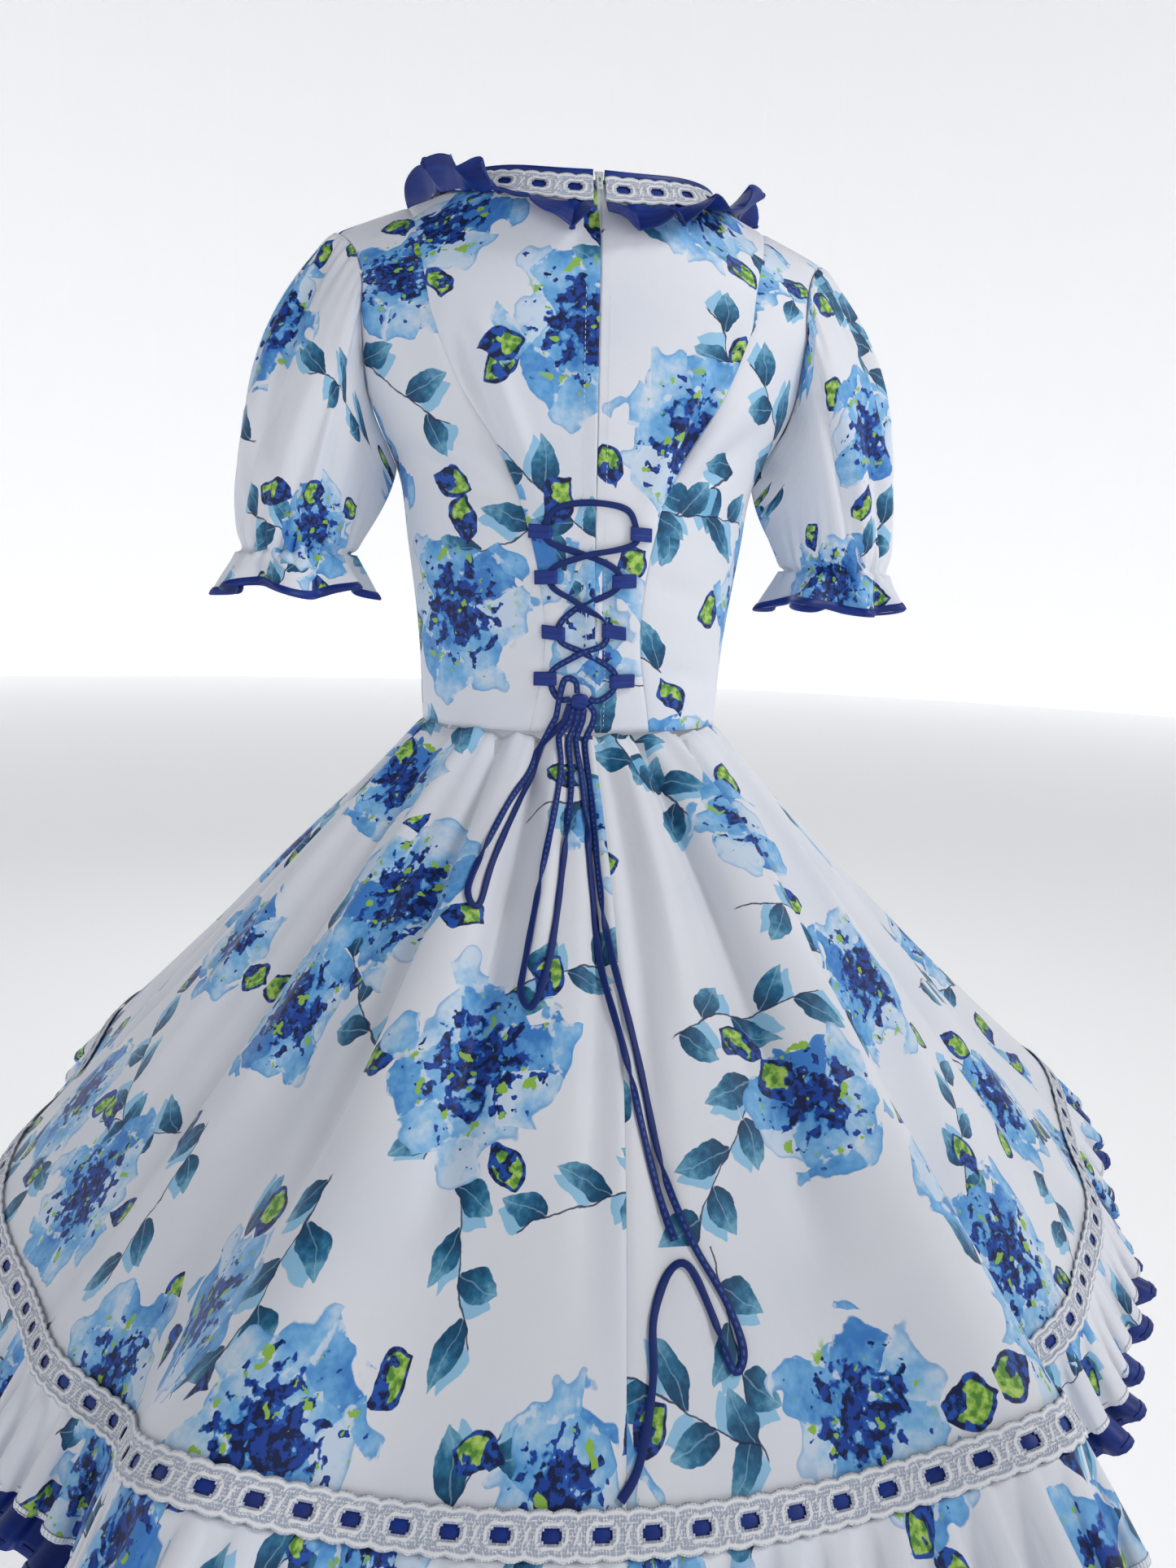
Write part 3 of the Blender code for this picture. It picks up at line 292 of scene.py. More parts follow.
def outward(place, normal):
    """Normals turned to point away from the inside of the dress."""
    middle = place.reshape(-1, 3)
    axis = np.stack([middle[:, 0] * 0, middle[:, 0] * 0,
                     np.minimum(middle[:, 2] - 0.05, -0.12)], axis=-1)
    facing = np.sum((middle - axis) * normal.reshape(-1, 3))
    return normal if facing > 0 else -normal


def pressed(place, height):
    """Move a grid out along its normals by a height at each point."""
    return place + outward(place, normals_of(place)) * np.asarray(height)[..., None]


def flat_lengths(place, middle=0.5, start=(0.0, 0.0)):
    """UV in metres: lengths along each row from a middle column, and down that column."""
    count = place.shape[1]
    steps = np.linalg.norm(np.diff(place, axis=1), axis=-1)
    along = np.concatenate([np.zeros((len(place), 1)), np.cumsum(steps, axis=1)], axis=1)
    column = int(round(middle * (count - 1)))
    u = along - along[:, column:column + 1]
    drops = np.linalg.norm(np.diff(place[:, column], axis=0), axis=-1)
    v = -np.concatenate([[0.0], np.cumsum(drops)])[:, None] + 0 * u
    return np.stack([u + start[0], v + start[1]], axis=-1)


def closed_lengths(place):
    """UV of a closed grid that is gathered: every row has the length of the longest."""
    whole = np.concatenate([place, place[:, :1]], axis=1)
    longest = np.linalg.norm(np.diff(whole, axis=1), axis=-1).sum(axis=1).max()
    uv = flat_lengths(whole, 0.5)
    uv[..., 0] = np.linspace(0, longest, whole.shape[1])[None, :]
    return uv


def grid_mesh(name, place, uv, closed=False, keep=None, raised=None):
    """A mesh from a grid. A closed grid joins its last column to its first."""
    rows, count = place.shape[:2]
    r = np.arange(rows - 1)[:, None]
    c = np.arange(count if closed else count - 1)[None, :]
    d = (c + 1) % count
    cells = np.stack(np.broadcast_arrays(r * count + c, r * count + d,
                                         (r + 1) * count + d, (r + 1) * count + c), axis=-1)
    wide = uv.shape[1]
    e = c + 1
    corners = np.stack(np.broadcast_arrays(r * wide + c, r * wide + e,
                                           (r + 1) * wide + e, (r + 1) * wide + c), axis=-1)
    cells, corners = cells.reshape(-1, 4), corners.reshape(-1, 4)
    if keep is not None:
        kept = keep.reshape(-1)
        cells, corners = cells[kept], corners[kept]
    flat = place.reshape(-1, 3)
    a, b, h = flat[cells[:, 0]], flat[cells[:, 1]], flat[cells[:, 3]]
    facing = np.cross(b - a, h - a)
    middle = flat[cells].mean(axis=1)
    axis = np.stack([middle[:, 0] * 0, middle[:, 0] * 0,
                     np.minimum(middle[:, 2] - 0.05, -0.12)], axis=-1)
    if np.sum(facing * (middle - axis)) < 0:
        cells, corners = cells[:, ::-1], corners[:, ::-1]
    mesh = bpy.data.meshes.new(name)
    mesh.from_pydata(flat.tolist(), [], cells.tolist())
    layer = mesh.uv_layers.new(name="flat_cloth")
    layer.data.foreach_set("uv", uv.reshape(-1, 2)[corners.reshape(-1)].ravel())
    if raised is not None:
        mark = mesh.attributes.new("raised", "FLOAT", "POINT")
        mark.data.foreach_set("value", raised.ravel())
    mesh.shade_smooth()
    piece = bpy.data.objects.new(name, mesh)
    bpy.context.scene.collection.objects.link(piece)
    if keep is not None:
        deselect()
        bpy.context.view_layer.objects.active = piece
        piece.select_set(True)
        bpy.ops.object.mode_set(mode="EDIT")
        bpy.ops.mesh.select_mode(type="VERT")
        bpy.ops.mesh.select_all(action="DESELECT")
        bpy.ops.mesh.select_loose()
        bpy.ops.mesh.delete(type="VERT")
        bpy.ops.object.mode_set(mode="OBJECT")
        piece.select_set(False)
    return piece


def give_wall(piece, thickness=CLOTH_THICK, offset=1):
    wall = piece.modifiers.new("Wall", "SOLIDIFY")
    wall.thickness = thickness
    wall.offset = offset
    if len(piece.data.materials) > 1:
        wall.material_offset = 1
        wall.material_offset_rim = 1


def place_piece(piece, nodes, body="dress"):
    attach(piece, body)
    if nodes:
        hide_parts(*nodes)


def mesh_area(piece):
    return sum(face.area for face in piece.data.polygons)


print("sheet helpers ready, cloth", CLOTH_THICK * 1000, "mm")

# %% [markdown]
# ## The bodice block
# The bodice is cut in seven panels with princess seams, which run from the
# shoulder over the fullest part to the waist and give the body its shape
# without darts. Below the underarm each level is half an ellipse at the back
# and half at the front; above it the cloth rolls over to the shoulder seam.

# %% Points on the bodice


def shoulder_height(x):
    slope = SHOULDER_TOP - SHOULDER_DROP * np.hypot(x, SHOULDER_ROUND)
    return slope + NECK_RISE * np.exp(-(x / NECK_RISE_REACH) ** 4)


def depth_name(side):
    return "back_depth" if side > 0 else "front_depth"


def roll_depth(side, x):
    depth = section(depth_name(side), ROLL_START)
    return depth * np.sqrt(np.maximum(1.0 - (x / SHOULDER_HALF) ** 2, 0.0))


def torso(side, angle, share):
    """Points on the bodice: side is 1 at the back, share runs from waist to shoulder."""
    angle, share = np.broadcast_arrays(np.asarray(angle, float), np.asarray(share, float))
    height = WAIST + np.minimum(share / ROLL_SHARE, 1.0) * (ROLL_START - WAIST)
    x = section("half_width", height) * np.sin(angle)
    y = section(depth_name(side), height) * np.cos(angle)
    roll = np.clip((share - ROLL_SHARE) / (1.0 - ROLL_SHARE), 0, 1) * math.pi / 2
    y = y * np.cos(roll)
    height = height + (shoulder_height(x) - ROLL_START) * np.sin(roll) * (share > ROLL_SHARE)
    return points(x, side * y, height)


def seam_angle(side, share):
    """Angle of the princess seam from the centre line."""
    column = "back_seam" if side > 0 else "front_seam"
    low = np.minimum(share, ROLL_SHARE)
    height = WAIST + low / ROLL_SHARE * (ROLL_START - WAIST)
    lower = np.arcsin(section(column, height) / section("half_width", height))
    end = math.asin(SHOULDER_SEAM_X / SHOULDER_HALF)
    rise = np.clip((share - ROLL_SHARE) / (1.0 - ROLL_SHARE), 0, 1)
    return lower + (end - lower) * rise


def armhole_angle(share):
    along = np.clip((1.0 - share) / (1.0 - UNDERARM_SHARE), 0, 1)
    scoop = ARMHOLE_SCOOP * np.sin(math.pi * along)
    return math.pi / 2 - np.where(share <= UNDERARM_SHARE, 0.0, scoop)


def neck_share(side, x):
    """Share of the height at which the neckline crosses the bodice."""
    reach = NECK_BACK if side > 0 else NECK_FRONT
    inside = np.minimum(np.abs(x) / NECK_HALF, 1.0)
    y = reach * np.sqrt(1.0 - inside ** 2)
    roll = np.arccos(np.minimum(y / roll_depth(side, x), 1.0))
    share = ROLL_SHARE + (1.0 - ROLL_SHARE) * roll / (math.pi / 2)
    return np.where(np.abs(x) >= NECK_HALF * 0.9999, 1.0, share)


NECK_COLUMNS = 4
SHOULDER_COLUMNS = 2


def centre_grid(side, columns, rows):
    """Angles and shares of a centre panel: columns run 0 at the centre to 1 at the seam."""
    k = np.abs(columns)[None, :] * (NECK_COLUMNS + SHOULDER_COLUMNS)
    corner = math.asin(NECK_HALF / SHOULDER_HALF)
    outer = math.asin(SHOULDER_SEAM_X / SHOULDER_HALF)
    x = NECK_HALF * np.sin(math.pi / 2 * np.minimum(k / NECK_COLUMNS, 1.0))
    past = np.clip((k - NECK_COLUMNS) / SHOULDER_COLUMNS, 0, 1)
    top_angle = np.where(k <= NECK_COLUMNS, np.arcsin(x / SHOULDER_HALF),
                         corner + (outer - corner) * past)
    top = np.where(k < NECK_COLUMNS, neck_share(side, x), 1.0)
    share = rows[:, None]
    blend = share ** 2
    across = np.abs(columns)[None, :] * (1 - blend) + top_angle / outer * blend
    angle = across * seam_angle(side, share) * np.sign(columns)[None, :]
    return angle, share * top


print("waist", round(2 * section("half_width", WAIST), 3), "m wide")

# %% [markdown]
# ## Creases in the bodice
# The lacing pulls the waist in, so soft folds run from the loops up along the
# princess seams and out to the underarms. Each crease is one row of a table:
# where it starts and ends on the body, how wide and how deep it is. A trough
# and a ridge side by side read as one fold. The hidden front has a few of the
# same kind.

# %% Press creases into a panel
Crease = namedtuple("Crease", "side x0 z0 x1 z1 width depth")
CREASES = (
    Crease(1, 0.100, -0.110, 0.046, -0.246, 0.0075, -0.0080),
    Crease(1, 0.088, -0.105, 0.036, -0.235, 0.0085, 0.0054),
    Crease(1, 0.150, -0.190, 0.054, -0.240, 0.0090, -0.0051),
    Crease(1, 0.140, -0.170, 0.058, -0.222, 0.0090, 0.0035),
    Crease(1, 0.146, -0.045, 0.118, -0.112, 0.0100, -0.0045),
    Crease(1, 0.030, -0.085, 0.020, -0.185, 0.0140, -0.0042),
    Crease(1, 0.016, -0.265, 0.010, -0.345, 0.0080, -0.0032),
    Crease(1, -0.104, -0.100, -0.046, -0.248, 0.0080, -0.0077),
    Crease(1, -0.090, -0.110, -0.036, -0.238, 0.0090, 0.0058),
    Crease(1, -0.136, -0.166, -0.050, -0.244, 0.0080, -0.0058),
    Crease(1, -0.122, -0.142, -0.052, -0.225, 0.0080, 0.0045),
    Crease(1, -0.128, -0.050, -0.112, -0.105, 0.0110, -0.0038),
    Crease(1, -0.014, -0.262, -0.008, -0.350, 0.0070, -0.0029),
    Crease(1, 0.100, -0.285, 0.045, -0.290, 0.0090, -0.0026),
    Crease(1, -0.100, -0.300, -0.040, -0.288, 0.0090, -0.0026),
    Crease(1, 0.105, -0.372, 0.050, -0.350, 0.0080, -0.0029),
    Crease(1, -0.108, -0.365, -0.045, -0.352, 0.0080, -0.0029),
    Crease(-1, 0.120, -0.150, 0.066, -0.270, 0.0100, -0.0054),
    Crease(-1, -0.118, -0.160, -0.064, -0.275, 0.0100, -0.0051),
    Crease(-1, 0.040, -0.120, -0.030, -0.180, 0.0130, -0.0035),
    Crease(-1, 0.090, -0.350, 0.030, -0.372, 0.0090, -0.0029),
    Crease(-1, -0.095, -0.356, -0.035, -0.368, 0.0090, -0.0029),
)
SEAM_DIP = 0.0009
SEAM_DIP_WIDTH = 0.0022


def crease_height(side, place):
    """Sum of the creases over a grid of points, tapered towards their ends."""
    height = np.zeros(place.shape[:2])
    x, z = place[..., 0], place[..., 2]
    for crease in CREASES:
        if crease.side != side:
            continue
        run = np.array([crease.x1 - crease.x0, crease.z1 - crease.z0])
        length = np.hypot(*run)
        along = ((x - crease.x0) * run[0] + (z - crease.z0) * run[1]) / length ** 2
        aside = ((x - crease.x0) * run[1] - (z - crease.z0) * run[0]) / length
        taper = np.sin(math.pi * np.clip(along, 0, 1)) ** 0.7
        height += crease.depth * np.exp(-(aside / crease.width) ** 2) * taper
    return height


def edge_dip(place, first=True, last=True):
    """Seams pull the cloth in a little along the edges that are sewn."""
    steps = np.linalg.norm(np.diff(place, axis=1), axis=-1)
    along = np.concatenate([np.zeros((len(place), 1)), np.cumsum(steps, axis=1)], axis=1)
    dip = np.zeros(place.shape[:2])
    if first:
        dip += np.exp(-(along / SEAM_DIP_WIDTH) ** 2)
    if last:
        dip += np.exp(-((along[:, -1:] - along) / SEAM_DIP_WIDTH) ** 2)
    return -SEAM_DIP * dip


print(len(CREASES), "creases")

# %% [markdown]
# ## Sewing the seven panels
# Rows run from the neck or shoulder to the waist and columns from the centre
# to the side. The columns are closer together near the sewn edges, because
# that is where the cloth dips into the seam.

# %% Cut and place the bodice panels
BODICE_ROWS = 84
SEAM_COLUMNS = (0.0, 0.012, 0.026, 0.045)
ZIP_OPENING = 0.0016
PLACKET_RIDGE = 0.0017
LAP_START = -0.030
LAP_REACH = 0.0022


def seam_shares(count):
    """Shares from 0 to 1, closer together near both ends."""
    near = np.array(SEAM_COLUMNS)
    return np.concatenate([near, np.linspace(0.075, 0.925, count), 1.0 - near[::-1]])


def body_lengths(side, angle, share, start):
    """UV in metres: the length round the body from its centre line, and up that line."""
    angle, share = np.broadcast_arrays(angle, share)
    parts = np.linspace(0, 1, 25)[:, None, None]
    round_body = torso(side, parts * angle[None], np.broadcast_to(share[None], (25, *share.shape)))
    u = np.sign(angle) * np.linalg.norm(np.diff(round_body, axis=0), axis=-1).sum(axis=0)
    fine = np.linspace(0, 1, 201)
    centre = torso(side, 0.0 * fine, fine)
    up = np.concatenate([[0], np.cumsum(np.linalg.norm(np.diff(centre, axis=0), axis=-1))])
    return np.stack([u + start[0], np.interp(share, fine, up) + start[1]], axis=-1)


bodice = []
shares = np.linspace(1.0, 0.0, BODICE_ROWS)
columns = seam_shares(22)
for word, hand in (("left", 1), ("right", -1)):
    angle, share = centre_grid(1, columns, shares)
    place = torso(1, angle, share)
    aside = place[..., 0].copy()
    closing = np.clip((LAP_START - place[..., 2]) / 0.020, 0, 1)
    edge = ZIP_OPENING - (LAP_REACH if hand > 0 else 0.0004) * closing
    place[..., 0] = hand * (aside + edge * np.exp(-aside / 0.004))
    ripple = 0.0004 * np.sin(place[..., 2] * 310 + hand) * np.exp(-aside / 0.012)
    uv = body_lengths(1, hand * angle, share, (0.03 * hand + 0.41, 0.52))
    height = crease_height(1, place) + edge_dip(place, False, True) + ripple
    if hand > 0:
        height += PLACKET_RIDGE * closing * np.exp(-(aside / 0.006) ** 2)
    piece = grid_mesh("cloth_back_centre_" + word, worn(pressed(place, height)), uv)
    bodice.append((piece, "back_centre_" + word))
columns = np.concatenate([-seam_shares(22)[::-1], seam_shares(22)[1:]])
angle, share = centre_grid(-1, columns, shares)
place = torso(-1, angle, share)
uv = body_lengths(-1, angle, share, (0.11, 0.37))
height = crease_height(-1, place) + edge_dip(place)
piece = grid_mesh("cloth_front_centre", worn(pressed(place, height)), uv)
bodice.append((piece, "front_centre"))
for facing, side in (("back", 1), ("front", -1)):
    for word, hand in (("left", 1), ("right", -1)):
        across = seam_shares(20)[None, :]
        down = shares[:, None]
        start, end = seam_angle(side, down), armhole_angle(down)
        angle = hand * (start + (end - start) * across)
        place = torso(side, angle, down)
        uv = body_lengths(side, angle, down, (0.21 * hand + 0.13 * side, 0.55 + 0.17 * hand))
        height = crease_height(side, place) + edge_dip(place)
        name = facing + "_side_" + word
        piece = grid_mesh("cloth_" + name, worn(pressed(place, height)), uv)
        bodice.append((piece, name))
BODICE_AREAS = {node: mesh_area(piece) for piece, node in bodice}
for node, area in BODICE_AREAS.items():
    print(node, "uses", round(area * 1e4), "square cm of cloth")

# %% [markdown]
# ## The puff sleeves
# A puff sleeve starts as a wide flat shape. Its cap is gathered into the
# armhole and its lower edge into elastic, so the cloth between stands out.
# Gathers are many small uneven ripples that die away from the stitching; a
# few broad folds cross the puff. The frill below the elastic is the same
# cloth let free again.

# %% Gather and place the sleeves
ARMHOLE_ROWS = 8
SLEEVE_RINGS = 256
CUFF_CENTRE = np.array((0.220, 0.0, -0.273))
CUFF_WIDTH = 0.042
CUFF_DEPTH = 0.047
CUFF_FRILL = 0.030
FRILL_FLARE = 0.013
FRILL_WAVE = 0.006
FRILL_FOLDS = 8
PUFF_OUTER = 0.030
PUFF_DEPTH = 0.014
PUFF_INNER = 0.005
ELASTIC_DIP = 0.0038

SleeveFold = namedtuple("SleeveFold", "around0 share0 around1 share1 width depth")
SLEEVE_FOLDS = {
    "left": (
        SleeveFold(2.5, 0.02, 2.15, 0.70, 0.16, -0.0067),
        SleeveFold(2.95, 0.02, 3.0, 0.55, 0.14, -0.0058),
        SleeveFold(3.5, 0.02, 3.7, 0.50, 0.16, -0.0054),
        SleeveFold(2.2, 0.45, 2.9, 1.00, 0.15, -0.0064),
        SleeveFold(1.5, 0.30, 1.75, 1.00, 0.16, -0.0064),
        SleeveFold(1.1, 0.10, 1.25, 0.85, 0.20, -0.0051),
        SleeveFold(4.1, 0.20, 3.95, 1.00, 0.18, -0.0061),
        SleeveFold(4.9, 0.10, 4.7, 0.95, 0.20, -0.0054),
    ),
    "right": (
        SleeveFold(2.6, 0.02, 2.45, 0.60, 0.15, -0.0064),
        SleeveFold(3.1, 0.02, 3.05, 0.50, 0.14, -0.0054),
        SleeveFold(2.05, 0.30, 2.3, 1.00, 0.16, -0.0070),
        SleeveFold(1.35, 0.15, 1.6, 0.95, 0.17, -0.0064),
        SleeveFold(2.75, 0.50, 3.1, 1.00, 0.15, -0.0051),
        SleeveFold(3.8, 0.15, 3.6, 0.85, 0.18, -0.0058),
        SleeveFold(4.6, 0.10, 4.5, 1.00, 0.20, -0.0058),
    ),
}


def armhole_line(count):
    """Points round the armhole, from the underarm up the back and down the front."""
    k = np.arange(count) * (4.0 * ARMHOLE_ROWS / count)
    half = 2.0 * ARMHOLE_ROWS
    back = k <= half
    step = np.where(back, k, 2 * half - k) / 2
    share = UNDERARM_SHARE + (1 - UNDERARM_SHARE) * step / ARMHOLE_ROWS
    angle = armhole_angle(share)
    return np.where(back[:, None], torso(1, angle, share), torso(-1, angle, share))


def make_sleeve(word, hand):
    around = 2 * math.pi * np.arange(SLEEVE_RINGS) / SLEEVE_RINGS
    phase = 0.0 if hand > 0 else 1.9
    start = armhole_line(SLEEVE_RINGS)
    start[:, 0] += 0.0012 + 0.0006 * np.cos(around)
    end = CUFF_CENTRE + points(-CUFF_WIDTH * np.cos(around), CUFF_DEPTH * np.sin(around), 0)
    share = np.concatenate([[0, 0.006, 0.015, 0.03], np.linspace(0.05, 0.95, 40),
                            [0.97, 0.985, 1.0]])[:, None]
    puff = np.sin(math.pi * share ** 0.8)
    outer = np.where(np.cos(around) < 0, PUFF_OUTER, PUFF_INNER)
    bulge = points(-outer * np.cos(around), PUFF_DEPTH * np.sin(around), 0)
    body = start[None] * (1 - share[..., None]) + end[None] * share[..., None]
    body = body + bulge[None] * puff[..., None]
    drop = np.linspace(0, 1, 13)[1:][:, None]
    uneven = np.cos(FRILL_FOLDS * around + 0.9 * np.sin(2 * around + phase))
    fine = 0.35 * np.cos(19 * around + phase) * np.exp(-drop * 2.5)
    reach = FRILL_FLARE * drop + 1.5 * FRILL_WAVE * (uneven * drop ** 0.8 + fine * drop ** 0.3)
    frill = points(CUFF_CENTRE[0] - (CUFF_WIDTH + reach) * np.cos(around),
                   (CUFF_DEPTH + reach) * np.sin(around),
                   CUFF_CENTRE[2] - CUFF_FRILL * drop - 0.0045 * drop ** 2
                   * np.cos(4 * around + 1.2 * np.sin(around + phase)))
    place = np.concatenate([body, frill])
    shares_down = np.concatenate([share, 1.0 + drop])
    cap = ((1 - np.cos(around)) / 2) ** 1.2
    ripple = np.cos(31 * around + phase) + 0.6 * np.cos(22 * around + 2 * phase + 1)
    height = (0.0015 * ripple * cap * np.exp(-shares_down / 0.14)
              * np.minimum(shares_down / 0.02, 1))
    gather = np.cos(23 * around + phase) + 0.7 * np.cos(34 * around + 1.3 + phase)
    height = height + 0.0018 * gather * np.exp(-np.abs(shares_down - 1.0) / 0.15)
    height = height - ELASTIC_DIP * np.exp(-((shares_down - 1.0) / 0.045) ** 2)
    for fold in SLEEVE_FOLDS[word]:
        along = np.clip((shares_down - fold.share0) / (fold.share1 - fold.share0), 0, 1)
        centre = fold.around0 + (fold.around1 - fold.around0) * along
        taper = np.sin(math.pi * along) ** 0.6
        aside = (around - centre) / fold.width
        height = height + fold.depth * taper * np.exp(-aside ** 2)
        height = height - 0.5 * fold.depth * taper * np.exp(-(aside - 1.5) ** 2)
    uv = closed_lengths(place) + np.array((0.19 + 0.3 * hand, 0.23))
    normal = normals_of(np.concatenate([place[:, -2:], place, place[:, :2]], axis=1))[:, 2:-2]
    middle = points(place[..., 0] * 0 + 0.20, place[..., 1] * 0, place[..., 2])
    if np.sum((place - middle) * normal) < 0:
        normal = -normal
    place = place + normal * height[..., None]
    place[..., 0] *= hand
    return worn(place), uv


def sleeve_piece(word, hand):
    place, uv = make_sleeve(word, hand)
    piece = grid_mesh("cloth_sleeve_" + word, place, uv, closed=True)
    return piece, place


def binding_piece(word, hand, place):
    """A narrow royal-blue binding folded over the frill's edge."""
    last, before = place[-1], place[-4]
    way = (last - before) / np.linalg.norm(last - before, axis=-1, keepdims=True)
    middle = np.array((0.22 * hand, 0.0, 0.0))
    out = last - middle
    out[:, 2] = 0
    out /= np.linalg.norm(out, axis=-1, keepdims=True)
    rows = []
    for up, lift in ((-0.0068, 0.0008), (-0.0064, 0.0018), (-0.0036, 0.0024), (-0.0006, 0.0021),
                     (0.0006, 0.0004), (-0.0006, -0.0009), (-0.0036, -0.0012), (-0.0064, -0.0008)):
        rows.append(last + way * up + out * lift)
    rows = np.array(rows)
    closed = np.concatenate([rows, rows[:, :1]], axis=1)
    return grid_mesh("binding_" + word, rows, flat_lengths(closed, 0.5), closed=True)


sleeves = {}
for word, hand in (("left", 1), ("right", -1)):
    piece, place = sleeve_piece(word, hand)
    sleeves[word] = (piece, binding_piece(word, hand, place))
    print("sleeve", word, round(mesh_area(piece) * 1e4), "square cm")

# %% [markdown]
# ## The skirt
# Two quarter circles at the back and a half circle at the front, sewn to the
# waist: that is a full circle, so the hem has far more cloth than the waist
# and swings out in folds. The big folds come from the measures table. Smaller
# ones, drawn here by their angle at the waist and at the hem, start from the
# waist seam as soft pleats and fade or widen on their way down.

# %% Fold and place the skirt
SkirtFold = namedtuple("SkirtFold", "top bottom share0 share1 width depth")
SKIRT_FOLDS = (
    SkirtFold(19, 17, 0.00, 0.75, 2.2, -0.0158),
    SkirtFold(13, 12, 0.00, 0.45, 1.9, 0.0074),
    SkirtFold(34, 31, 0.00, 0.90, 2.6, -0.0149),
    SkirtFold(46, 50, 0.02, 0.70, 3.0, 0.0094),
    SkirtFold(60, 58, 0.05, 1.00, 2.8, -0.0112),
    SkirtFold(74, 70, 0.00, 0.80, 3.1, 0.0094),
    SkirtFold(3, 3, 0.03, 0.85, 1.5, -0.0056),
    SkirtFold(88, 92, 0.00, 1.00, 2.9, -0.0131),
    SkirtFold(112, 108, 0.00, 0.90, 3.1, -0.0112),
    SkirtFold(133, 137, 0.00, 0.80, 2.8, -0.0121),
    SkirtFold(156, 152, 0.00, 1.00, 2.6, -0.0112),
    SkirtFold(179, 181, 0.00, 0.70, 2.6, -0.0121),
    SkirtFold(201, 205, 0.00, 1.00, 2.8, -0.0112),
    SkirtFold(222, 226, 0.00, 0.80, 2.8, 0.0094),
    SkirtFold(246, 242, 0.00, 1.00, 2.9, -0.0121),
    SkirtFold(268, 270, 0.00, 0.90, 2.9, -0.0112),
    SkirtFold(290, 292, 0.00, 1.00, 2.6, -0.0131),
    SkirtFold(302, 307, 0.02, 0.70, 2.6, 0.0084),
    SkirtFold(320, 322, 0.00, 0.95, 2.4, -0.0158),
    SkirtFold(331, 327, 0.00, 0.40, 1.9, 0.0084),
    SkirtFold(342, 343, 0.00, 0.80, 2.1, -0.0149),
    SkirtFold(351, 352, 0.02, 0.50, 1.7, 0.0065),
    SkirtFold(356.5, 357, 0.03, 0.85, 1.5, -0.0056),
)
WAIST_DIP = 0.0016


def fold_reach(degrees, share):
    """How far the big folds move the skirt out."""
    reach = 0.0 * degrees * share
    for fold in FOLDS:
        away = (degrees - fold.angle + 180) % 360 - 180
        bump = np.exp(-(away / fold.width) ** 2)
        reach = reach + bump * fold.rise * share ** FOLD_GROWTH
        reach = reach + bump * fold.at_waist * np.sin(math.pi * np.minimum(share / 0.6, 1.0))
    return reach


def skirt_place(degrees, share):
    """Inner face of the skirt: 0 is the centre back and 90 the wearer's left."""
    degrees, share = np.broadcast_arrays(np.asarray(degrees, float), np.asarray(share, float))
    angle = np.radians(degrees)
    out = points(np.sin(angle), np.cos(angle), 0 * angle)
    depth = np.where(out[..., 1] > 0, section("back_depth", WAIST), section("front_depth", WAIST))
    waist_x = section("half_width", WAIST) * out[..., 0]
    waist_y = depth * out[..., 1]
    radius = HEM_RADIUS + FRONT_LIFT * (1 - out[..., 1]) / 2
    run = radius - np.hypot(waist_x, waist_y)
    drop = np.sqrt(SKIRT_SLANT ** 2 - run ** 2)
    reach = fold_reach(degrees, share)
    x = waist_x + out[..., 0] * (run * share + reach)
    y = waist_y + out[..., 1] * (run * share + reach)
    z = WAIST - SKIRT_TOP_DROP - (drop * share - reach * run / drop)
    return points(x, y, z)


def small_folds(degrees, share):
    height = 0.0 * degrees * share
    for fold in SKIRT_FOLDS:
        along = np.clip((share - fold.share0) / (fold.share1 - fold.share0), 0, 1)
        centre = fold.top + (fold.bottom - fold.top) * along
        away = (degrees - centre + 180) % 360 - 180
        wide = fold.width * (1.15 - 0.35 * share)
        taper = np.sin(math.pi * np.clip(along * 0.92 + 0.10, 0, 1)) ** 0.8
        taper = taper * (along < 1.0)
        height = height + fold.depth * taper * np.exp(-(away / wide) ** 2)
    gathers = np.sin(np.radians(degrees) * 43) + 0.6 * np.sin(np.radians(degrees) * 67 + 1)
    height = height + 0.0009 * gathers * np.exp(-share / 0.06)
    return height - WAIST_DIP * np.exp(-(share / 0.010) ** 2)


def skirt_span(first, last):
    near = np.array((0.0, 0.12, 0.3, 0.6))
    degrees = np.concatenate([first + near, np.arange(first + 1.0, last - 0.99, 1.0),
                              last - near[::-1]])
    share = np.concatenate([[0, 0.002, 0.005, 0.010, 0.017], np.linspace(0.026, 1.0, 72)])
    grid_degrees, grid_share = np.meshgrid(degrees, share)
    place = skirt_place(grid_degrees, grid_share)
    height = small_folds(grid_degrees, grid_share) * np.minimum((1.0 - grid_share) / 0.06, 1)
    height = height + edge_dip(place)
    angle = np.radians((grid_degrees - (first + last) / 2) * FLAT_TURN)
    radius = FLAT_WAIST_RADIUS + grid_share * SKIRT_SLANT
    uv = np.stack([radius * np.sin(angle), -radius * np.cos(angle)], axis=-1)
    return pressed(place, height), uv


FLAT_WAIST_RADIUS = 0.103
FLAT_TURN = 0.98
skirt = []
for name, first, last, shift in (("skirt_back_left", 0, 90, (0.13, 0.07)),
                                 ("skirt_front", 90, 270, (0.31, 0.22)),
                                 ("skirt_back_right", 270, 360, (0.02, 0.29))):
    place, uv = skirt_span(first, last)
    piece = grid_mesh("cloth_" + name, worn(place), uv + np.array(shift))
    skirt.append((piece, name))
    print(name, round(mesh_area(piece), 3), "square metres")

